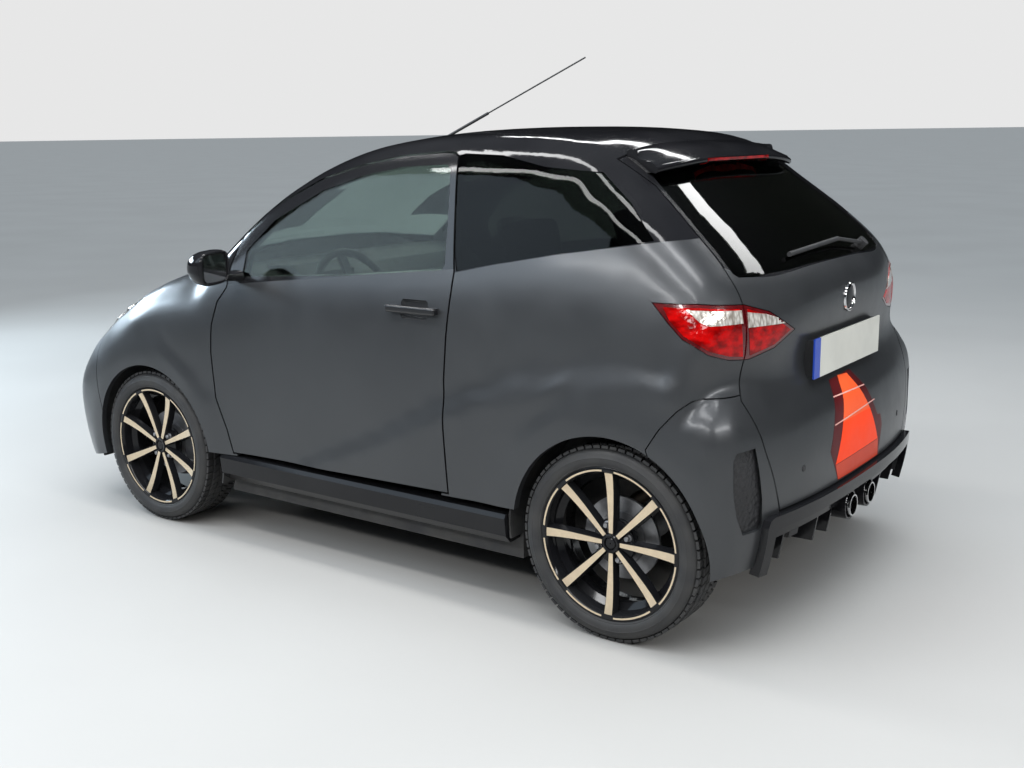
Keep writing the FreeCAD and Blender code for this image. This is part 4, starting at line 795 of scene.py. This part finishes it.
# ---------------------------------------------------------------- coloured stripe on the tailgate
UNDER_FILM, FILM, LINE_FILM = 0.0004, 0.0008, 0.0012  # heights above the paint
STRIPE = [
    ("dark_upper", STRIPE_DARK, UNDER_FILM,
     [(0.123, 0.670), (-0.060, 0.674), (-0.092, 0.624), (-0.144, 0.563), (-0.188, 0.515),
      (0.181, 0.558)]),
    ("dark_lower", STRIPE_DARK, UNDER_FILM,
     [(0.181, 0.558), (-0.188, 0.515), (-0.201, 0.479), (-0.170, 0.388), (0.163, 0.390),
      (0.222, 0.486)]),
    ("orange_upper", STRIPE_ORANGE, FILM,
     [(0.056, 0.672), (-0.012, 0.668), (-0.098, 0.552), (0.120, 0.552)]),
    ("orange_lower", STRIPE_BRIGHT, FILM,
     [(0.120, 0.552), (-0.098, 0.552), (-0.160, 0.444), (0.185, 0.441)]),
    ("brick_band", STRIPE_LOW, FILM,
     [(0.185, 0.439), (-0.163, 0.442), (-0.167, 0.390), (0.163, 0.392)]),
    ("line_upper", STRIPE_LINE, LINE_FILM,
     [(0.148, 0.629), (0.148, 0.6255), (-0.091, 0.6195), (-0.091, 0.623)]),
    ("line_middle", STRIPE_LINE, LINE_FILM,
     [(0.180, 0.556), (0.180, 0.5525), (-0.146, 0.5665), (-0.146, 0.570)]),
]
for name, film, lift, outline in STRIPE:
    overlay("stripe_" + name, outline, "tailgate", film, "tailgate", lift=lift,
            thick=0.0003)

# ---------------------------------------------------------------- small things on the body
RING_PROFILE = [(0.0345, -0.001), (0.0355, 0.0024), (0.0385, 0.0044), (0.0415, 0.0034),
                (0.0430, -0.001)]
RING_DISC = [(0.0, 0.0020), (0.0150, 0.0018), (0.0300, 0.0008), (0.0350, -0.001)]
SENSOR = [(0.0, 0.0016), (0.0060, 0.0014), (0.0078, 0.0004), (0.0084, 0.0012),
          (0.0094, 0.0008), (0.0098, -0.001)]
gate_surface = surface_of("tailgate")
place, way = touched(gate_surface, "rear", -0.005, 0.896)
turned_on("tailgate_ring", RING_PROFILE, place, way, CHROME, "tailgate", 64)
turned_on("tailgate_ring_disc", RING_DISC, place, way, BLACK, "tailgate")
for side, sign in SIDES:
    place, way = touched(gate_surface, "rear", sign * 0.384, 0.476)
    turned_on("parking_sensor_" + side, SENSOR, place, way, PLASTIC, "tailgate",
              28)
overlay("high_brake_lamp", [(0.21, 1.2965), (-0.21, 1.2965), (-0.21, 1.2815), (0.21, 1.2815)],
        "rear_spoiler", RED, "tailgate", step=0.005, lift=0.0008, thick=0.0016)

# Three lamps in chrome rings on each headlamp cover: place along the car, height, radius.
HEADLAMP = [(1.105, 0.756, 0.021), (1.205, 0.709, 0.029), (1.305, 0.655, 0.022)]
lamp_surface = surface_of("headlamps")
for side, sign in SIDES:
    for number, (x, z, radius) in enumerate(HEADLAMP):
        place, way = touched(lamp_surface, "side", x, z)
        place.y, way.y = sign * place.y, sign * way.y
        ring = [(radius, -0.002), (radius + 0.001, 0.0016), (radius + 0.004, 0.0022),
                (radius + 0.006, -0.002)]
        dome = [(0.0, 0.006), (0.35 * radius, 0.0055), (0.7 * radius, 0.0038),
                (0.95 * radius, 0.001), (radius, -0.002)]
        turned_on("headlamp_ring_%d_%s" % (number, side), ring, place, way, CHROME, "body",
                  40)
        turned_on("headlamp_dome_%d_%s" % (number, side), dome, place, way, LAMP_WHITE, "body",
                  40)

# ---------------------------------------------------------------- mirrors and corner vents
MIRROR = toned("mirror_glass", (0.72, 0.74, 0.76), (0.66, 0.68, 0.70), (4.0,),
               (0.02, 0.05, 12.0), 1.0)
MIRROR.bump(MIRROR.noise(5.0, 1.0), 0.0004, 0.1)
GLASS_HALF = (0.0445, 0.0455)
# Each row: place along the car, size, squareness. The first two make the sunk mirror face.
MIRROR_ROWS = [(0.3515, 0.76, 6.0), (0.3515, 0.80, 5.5), (0.3465, 0.81, 5.5), (0.3450, 0.84, 5.0),
               (0.3450, 0.90, 4.0), (0.3470, 0.95, 3.6), (0.3520, 0.985, 3.3), (0.3620, 1.0, 3.1),
               (0.3780, 0.99, 2.9), (0.3980, 0.94, 2.7), (0.4160, 0.85, 2.5), (0.4310, 0.72, 2.4),
               (0.4420, 0.54, 2.3), (0.4490, 0.32, 2.2), (0.4515, 0.14, 2.0)]
SHELL_MIDDLE, SHELL_HALF, SHELL_LEAN = (0.8375, 0.9665), (0.0620, 0.0560), -0.08
# The foot's rows: place across the car, half length, half height, rise.
FOOT_ROWS = [(0.700, 0.034, 0.018, 0.000), (0.735, 0.028, 0.015, 0.000),
             (0.765, 0.024, 0.014, 0.003), (0.790, 0.024, 0.018, 0.010)]
FOOT_X, FOOT_Z = 0.404, 0.925


def mirror_shell(side, sign):
    """The rounded housing that narrows forwards, on a flat foot at the door."""
    rings = []
    for x, size, power in MIRROR_ROWS:
        half = (SHELL_HALF[0] * size, SHELL_HALF[1] * size)
        rings.append([(x, y, z + SHELL_LEAN * (y - SHELL_MIDDLE[0]))
                      for y, z in rounded(SHELL_MIDDLE, half, power, 64)])
    foot = [[(FOOT_X + u, y, FOOT_Z + rise + v)
             for u, v in rounded((0.0, 0.0), (long, tall), 3.0)]
            for y, long, tall, rise in FOOT_ROWS]
    item = joined([skinned("shell", rings), skinned("foot", foot)], "mirror_shell_" + side)
    if sign < 0:
        to_right(item)
    finished(item, BLACK, "door_" + side)
    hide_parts("mirror_" + side)


for side, sign in SIDES:
    mirror_shell(side, sign)
for side, sign in SIDES:
    overlay("mirror_glass_" + side, rounded(SHELL_MIDDLE, GLASS_HALF), "mirror_left", MIRROR,
            "door_" + side, lift=0.0015, thick=0.0015, mirrored=sign < 0)

VENT = [(-0.714, 0.572), (-0.806, 0.572), (-0.826, 0.519), (-0.846, 0.435), (-0.848, 0.360),
        (-0.766, 0.356), (-0.734, 0.404), (-0.718, 0.459)]
MESH = moulded_plastic("vent_mesh", (0.010, 0.010, 0.011))
MESH.bump(MESH.cells(75.0), 0.004, 0.9)
for side, sign in SIDES:
    overlay("corner_vent_mesh_" + side, VENT, "rear_corners", MESH, "body",
            "corner", lift=0.0008, thick=0.0006, mirrored=sign < 0)

# ---------------------------------------------------------------- seats
PAD_VOXEL, PAD_FRAMES, PAD_PRESSURE, PAD_LIMIT = 0.006, 20, 4.0, 0.008
PAD_CROWN, PAD_PULL = 0.22, 0.06
CHANNEL_DEPTH, CHANNEL_WIDTH = 0.007, 0.012
SEAT_Y = 0.325
# Pads of a seat on the car's middle line: name, finish, size, place, lean in degrees, and
# places of channels. A pad that isn't on the middle line is there twice, inside and outside.
PADS = [
    ("cushion", CLOTH, (0.330, 0.290, 0.090), (-0.155, 0.0, 0.425), -6, (-0.09, 0.0, 0.09)),
    ("cushion_bolster", TRIM, (0.350, 0.075, 0.110), (-0.160, 0.178, 0.433), -6, ()),
    ("back", CLOTH, (0.430, 0.280, 0.080), (-0.452, 0.0, 0.672), -72, (-0.12, -0.02, 0.08)),
    ("back_bolster", TRIM, (0.440, 0.075, 0.115), (-0.446, 0.176, 0.672), -72, ()),
    ("headrest", TRIM, (0.165, 0.235, 0.085), (-0.535, 0.0, 1.030), -78, ()),
]


def crowned_block(size, cuts=14):
    """A closed pad about the origin: full in the middle, its sides pulled in between corners."""
    work = bmesh.new()
    bmesh.ops.create_cube(work, size=2.0)
    bmesh.ops.subdivide_edges(work, edges=work.edges[:], cuts=cuts, use_grid_fill=True)
    for vert in work.verts:
        x, y, z = vert.co
        rounding = (x ** 6 + y ** 6 + z ** 6) ** (1.0 / 6.0)
        x, y, z = x / rounding, y / rounding, z / rounding
        along, across = 1.0 - x * x, 1.0 - y * y
        z += PAD_CROWN * max(0.0, along) * max(0.0, across) * (1.0 if z > 0 else 0.35)
        vert.co = (x * size[0] / 2 * (1.0 - PAD_PULL * across),
                   y * size[1] / 2 * (1.0 - PAD_PULL * along), z * size[2] / 2)
    return from_work("pad", work)


def swollen(item):
    """Cloth inflated from inside, no point further than the limit from its start."""
    grid = item.modifiers.new("remesh", "REMESH")
    grid.mode = "VOXEL"
    grid.voxel_size = PAD_VOXEL
    applied(item)
    before = [v.co.copy() for v in item.data.vertices]
    cloth = item.modifiers.new("cloth", "CLOTH")
    settings = cloth.settings
    settings.use_pressure = True
    settings.uniform_pressure_force = PAD_PRESSURE
    settings.effector_weights.gravity = 0.0
    settings.quality = 4
    settings.mass = 0.25
    settings.tension_stiffness = settings.compression_stiffness = 25.0
    settings.bending_stiffness = 3.0
    cloth.point_cache.frame_start = 1
    cloth.point_cache.frame_end = PAD_FRAMES
    for number in range(1, PAD_FRAMES + 1):
        bpy.context.scene.frame_set(number)
    applied(item)
    bpy.context.scene.frame_set(1)
    for vert, start in zip(item.data.vertices, before):
        way = vert.co - start
        if way.length > PAD_LIMIT:
            vert.co = start + way * (PAD_LIMIT / way.length)
    return item


def channelled(item, places):
    """Sewn channels across the top of a pad, at places along it."""
    for vert in item.data.vertices:
        if vert.co.z > 0:
            for place in places:
                share = abs(vert.co.x - place) / CHANNEL_WIDTH
                if share < 1.0:
                    vert.co.z -= CHANNEL_DEPTH * (0.5 + 0.5 * math.cos(math.pi * share))


def box_mesh(low, high):
    points = [(x, y, z) for x in (low[0], high[0]) for y in (low[1], high[1])
              for z in (low[2], high[2])]
    faces = [(0, 1, 3, 2), (4, 6, 7, 5), (0, 4, 5, 1), (2, 3, 7, 6), (0, 2, 6, 4), (1, 5, 7, 3)]
    return points, faces


def seat_frame():
    """A moulded tray open to the pads, on legs and rails, with the headrest's posts."""
    side = [(0.050, 0.330), (0.045, 0.395), (-0.020, 0.400), (-0.340, 0.372), (-0.425, 0.400),
            (-0.550, 0.880), (-0.575, 0.880), (-0.580, 0.840), (-0.495, 0.420), (-0.465, 0.345),
            (-0.430, 0.325)]
    middle = [sum(point[axis] for point in side) / len(side) for axis in (0, 1)]
    parts = [skinned("shell", [[(middle[0] + (x - middle[0]) * share, y,
                                 middle[1] + (z - middle[1]) * share) for x, z in side]
                               for y, share in ((-0.205, 0.94), (-0.195, 1.0), (0.195, 1.0),
                                                (0.205, 0.94))])]
    for y in (-0.17, 0.17):
        parts.append(raw("rail", *box_mesh((-0.430, y - 0.018, 0.1703),
                                           (0.055, y + 0.018, 0.195))))
        for x in (-0.40, 0.0):
            parts.append(raw("leg", *box_mesh((x - 0.02, y - 0.012, 0.195),
                                              (x + 0.02, y + 0.012, 0.345))))
    post = [(0.006, -0.06), (0.006, 0.09), (0.0, 0.09), (0.0, -0.06)]
    for y in (-0.06, 0.06):
        rod = raw("post", *ring_points(post, 16, (0, 0, 0)))
        rod.data.transform(aimed((-0.545, y, 0.90), Vector((-0.03, 0, 0.15)).normalized()))
        parts.append(rod)
    return outward(joined(parts, "seat_shell"))


def placed_copy(item, name, place):
    result = linked(name, item.data.copy())
    result.data.transform(Matrix.Translation(place))
    return result


def seats():
    pads = []
    for tag, finish, size, (x, y, z), lean, channels in PADS:
        pad = swollen(crowned_block(size))
        channelled(pad, channels)
        soft = pad.modifiers.new("soft", "SUBSURF")
        soft.levels = soft.render_levels = 1
        applied(pad)
        pad.data.transform(Matrix.Rotation(math.radians(lean), 4, "Y"))
        for end, across in (("_in", -y), ("_out", y)) if y else (("", y),):
            pads.append((tag + end, finish, pad, (x, across, z)))
    shell = seat_frame()
    bevel = shell.modifiers.new("soft_edge", "BEVEL")
    bevel.width, bevel.segments = 0.006, 2
    applied(shell)
    first = None
    for side, sign in SIDES:
        for tag, finish, pad, (x, y, z) in pads:
            item = placed_copy(pad, "seat_%s_%s" % (tag, side), (x, y + sign * SEAT_Y, z))
            finished(item, finish, "body", 60.0)
            first = first or item
        item = placed_copy(shell, "seat_frame_" + side, (0, sign * SEAT_Y, 0))
        finished(item, PLASTIC, "body", 35.0)
    for item in {row[2] for row in pads} | {shell}:
        bpy.data.objects.remove(item)
    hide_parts("seats")


seats()


# ---------------------------------------------------------------- room, lamps and camera
def studio_floor(half=900.0, level=-0.001):
    finish = Finish("studio_floor", (0.5, 0.5, 0.5), 0.6, 0.0, Specular_IOR_Level=0.2)
    finish.set("Base Color", finish.tint((0.31, 0.30, 0.285), (0.295, 0.285, 0.27), 0.7))
    finish.bump(finish.noise(60.0, 3.0), 0.001, 0.15)
    floor = raw("studio_floor", [(-half, -half, level), (half, -half, level),
                                 (half, half, level), (-half, half, level)], [(0, 1, 2, 3)])
    floor.data.materials.append(finish.material)


def studio_world():
    """Cool light from above. Glossy surfaces get little of it, and the view sees a pale wall."""
    world = bpy.data.worlds.new("studio")
    bpy.context.scene.world = world
    world.use_nodes = True
    tree = world.node_tree
    tree.nodes.clear()

    def node(kind, *values, **settings):
        """A node whose inputs get the values in turn."""
        item = tree.nodes.new("ShaderNode" + kind)
        for key, value in settings.items():
            setattr(item, key, value)
        for socket, value in zip(item.inputs, values):
            if isinstance(value, bpy.types.NodeSocket):
                tree.links.new(value, socket)
            else:
                socket.default_value = value
        return item

    def fed(kind, *values, **settings):
        return node(kind, *values, **settings).outputs[0]

    height = node("SeparateXYZ", node("TexCoord").outputs["Generated"]).outputs["Z"]
    path = node("LightPath").outputs
    shade = fed("MapRange", height, 0.35, 0.95, 0.035, 2.6, interpolation_type="SMOOTHSTEP")
    dimmed = fed("Math", path["Is Glossy Ray"], -0.94, 1.0, operation="MULTIPLY_ADD")
    strength = fed("Math", shade, dimmed, operation="MULTIPLY")
    seen = fed("Math", path["Is Camera Ray"], path["Is Transmission Ray"], operation="MAXIMUM")
    light = fed("Background", (0.80, 0.90, 1.0, 1), strength)
    wall = fed("Background", (0.80, 0.80, 0.80, 1))
    node("OutputWorld", fed("MixShader", seen, light, wall))


def softbox(name, place, target, width, height, power, color=(1.0, 1.0, 1.0)):
    data = bpy.data.lights.new(name, "AREA")
    data.shape = "RECTANGLE"
    data.size, data.size_y = width, height
    data.energy = power
    data.color = color
    lamp = linked(name, data)
    lamp.location = place
    lamp.rotation_euler = (Vector(target) - Vector(place)).to_track_quat("-Z", "Y").to_euler()


# The photo's camera: place, yaw, pitch and roll in degrees, and lens for a 36 mm sensor.
CAMERA_PLACE, CAMERA_LENS = (-2.637, 3.343, 1.377), 41.61
CAMERA_ANGLES = (-54.03, -12.0, 0.83)


def camera():
    yaw, pitch, roll = (math.radians(angle) for angle in CAMERA_ANGLES)
    ahead = Vector((math.cos(yaw) * math.cos(pitch), math.sin(yaw) * math.cos(pitch),
                    math.sin(pitch)))
    right = ahead.cross(UP).normalized()
    down = ahead.cross(right)
    turned_right = right * math.cos(roll) + down * math.sin(roll)
    turned_down = down * math.cos(roll) - right * math.sin(roll)
    data = bpy.data.cameras.new("view")
    data.lens = CAMERA_LENS
    data.sensor_width = 36.0
    item = linked("view", data)
    turn = Matrix((turned_right, -turned_down, -ahead)).transposed().to_4x4()
    item.matrix_world = Matrix.Translation(CAMERA_PLACE) @ turn
    bpy.context.scene.camera = item


studio_floor()
studio_world()
for number, (across, power) in enumerate(((-3.0, 60), (0.7, 95), (2.4, 95))):
    softbox("ceiling_strip_%d" % number, (-0.3, across, 3.6), (-0.3, across * 0.6, 0.0), 5.5,
            0.3, power)
softbox("side_strip", (-0.6, 4.2, 2.6), (-0.2, 0, 0.6), 5.0, 0.25, 90)
softbox("rear_strip", (-4.6, 1.0, 2.4), (-1.2, 0, 0.6), 4.0, 0.35, 75)
softbox("front_panel", (5.8, 0.6, 2.2), (0.9, 0, 0.6), 3.4, 1.0, 260, (0.72, 0.87, 1.0))
softbox("side_panel", (3.6, 4.6, 3.4), (0.3, 0.5, 0.9), 4.2, 2.6, 75, (0.70, 0.85, 1.0))
camera()
bpy.context.scene.view_settings.view_transform = "Standard"
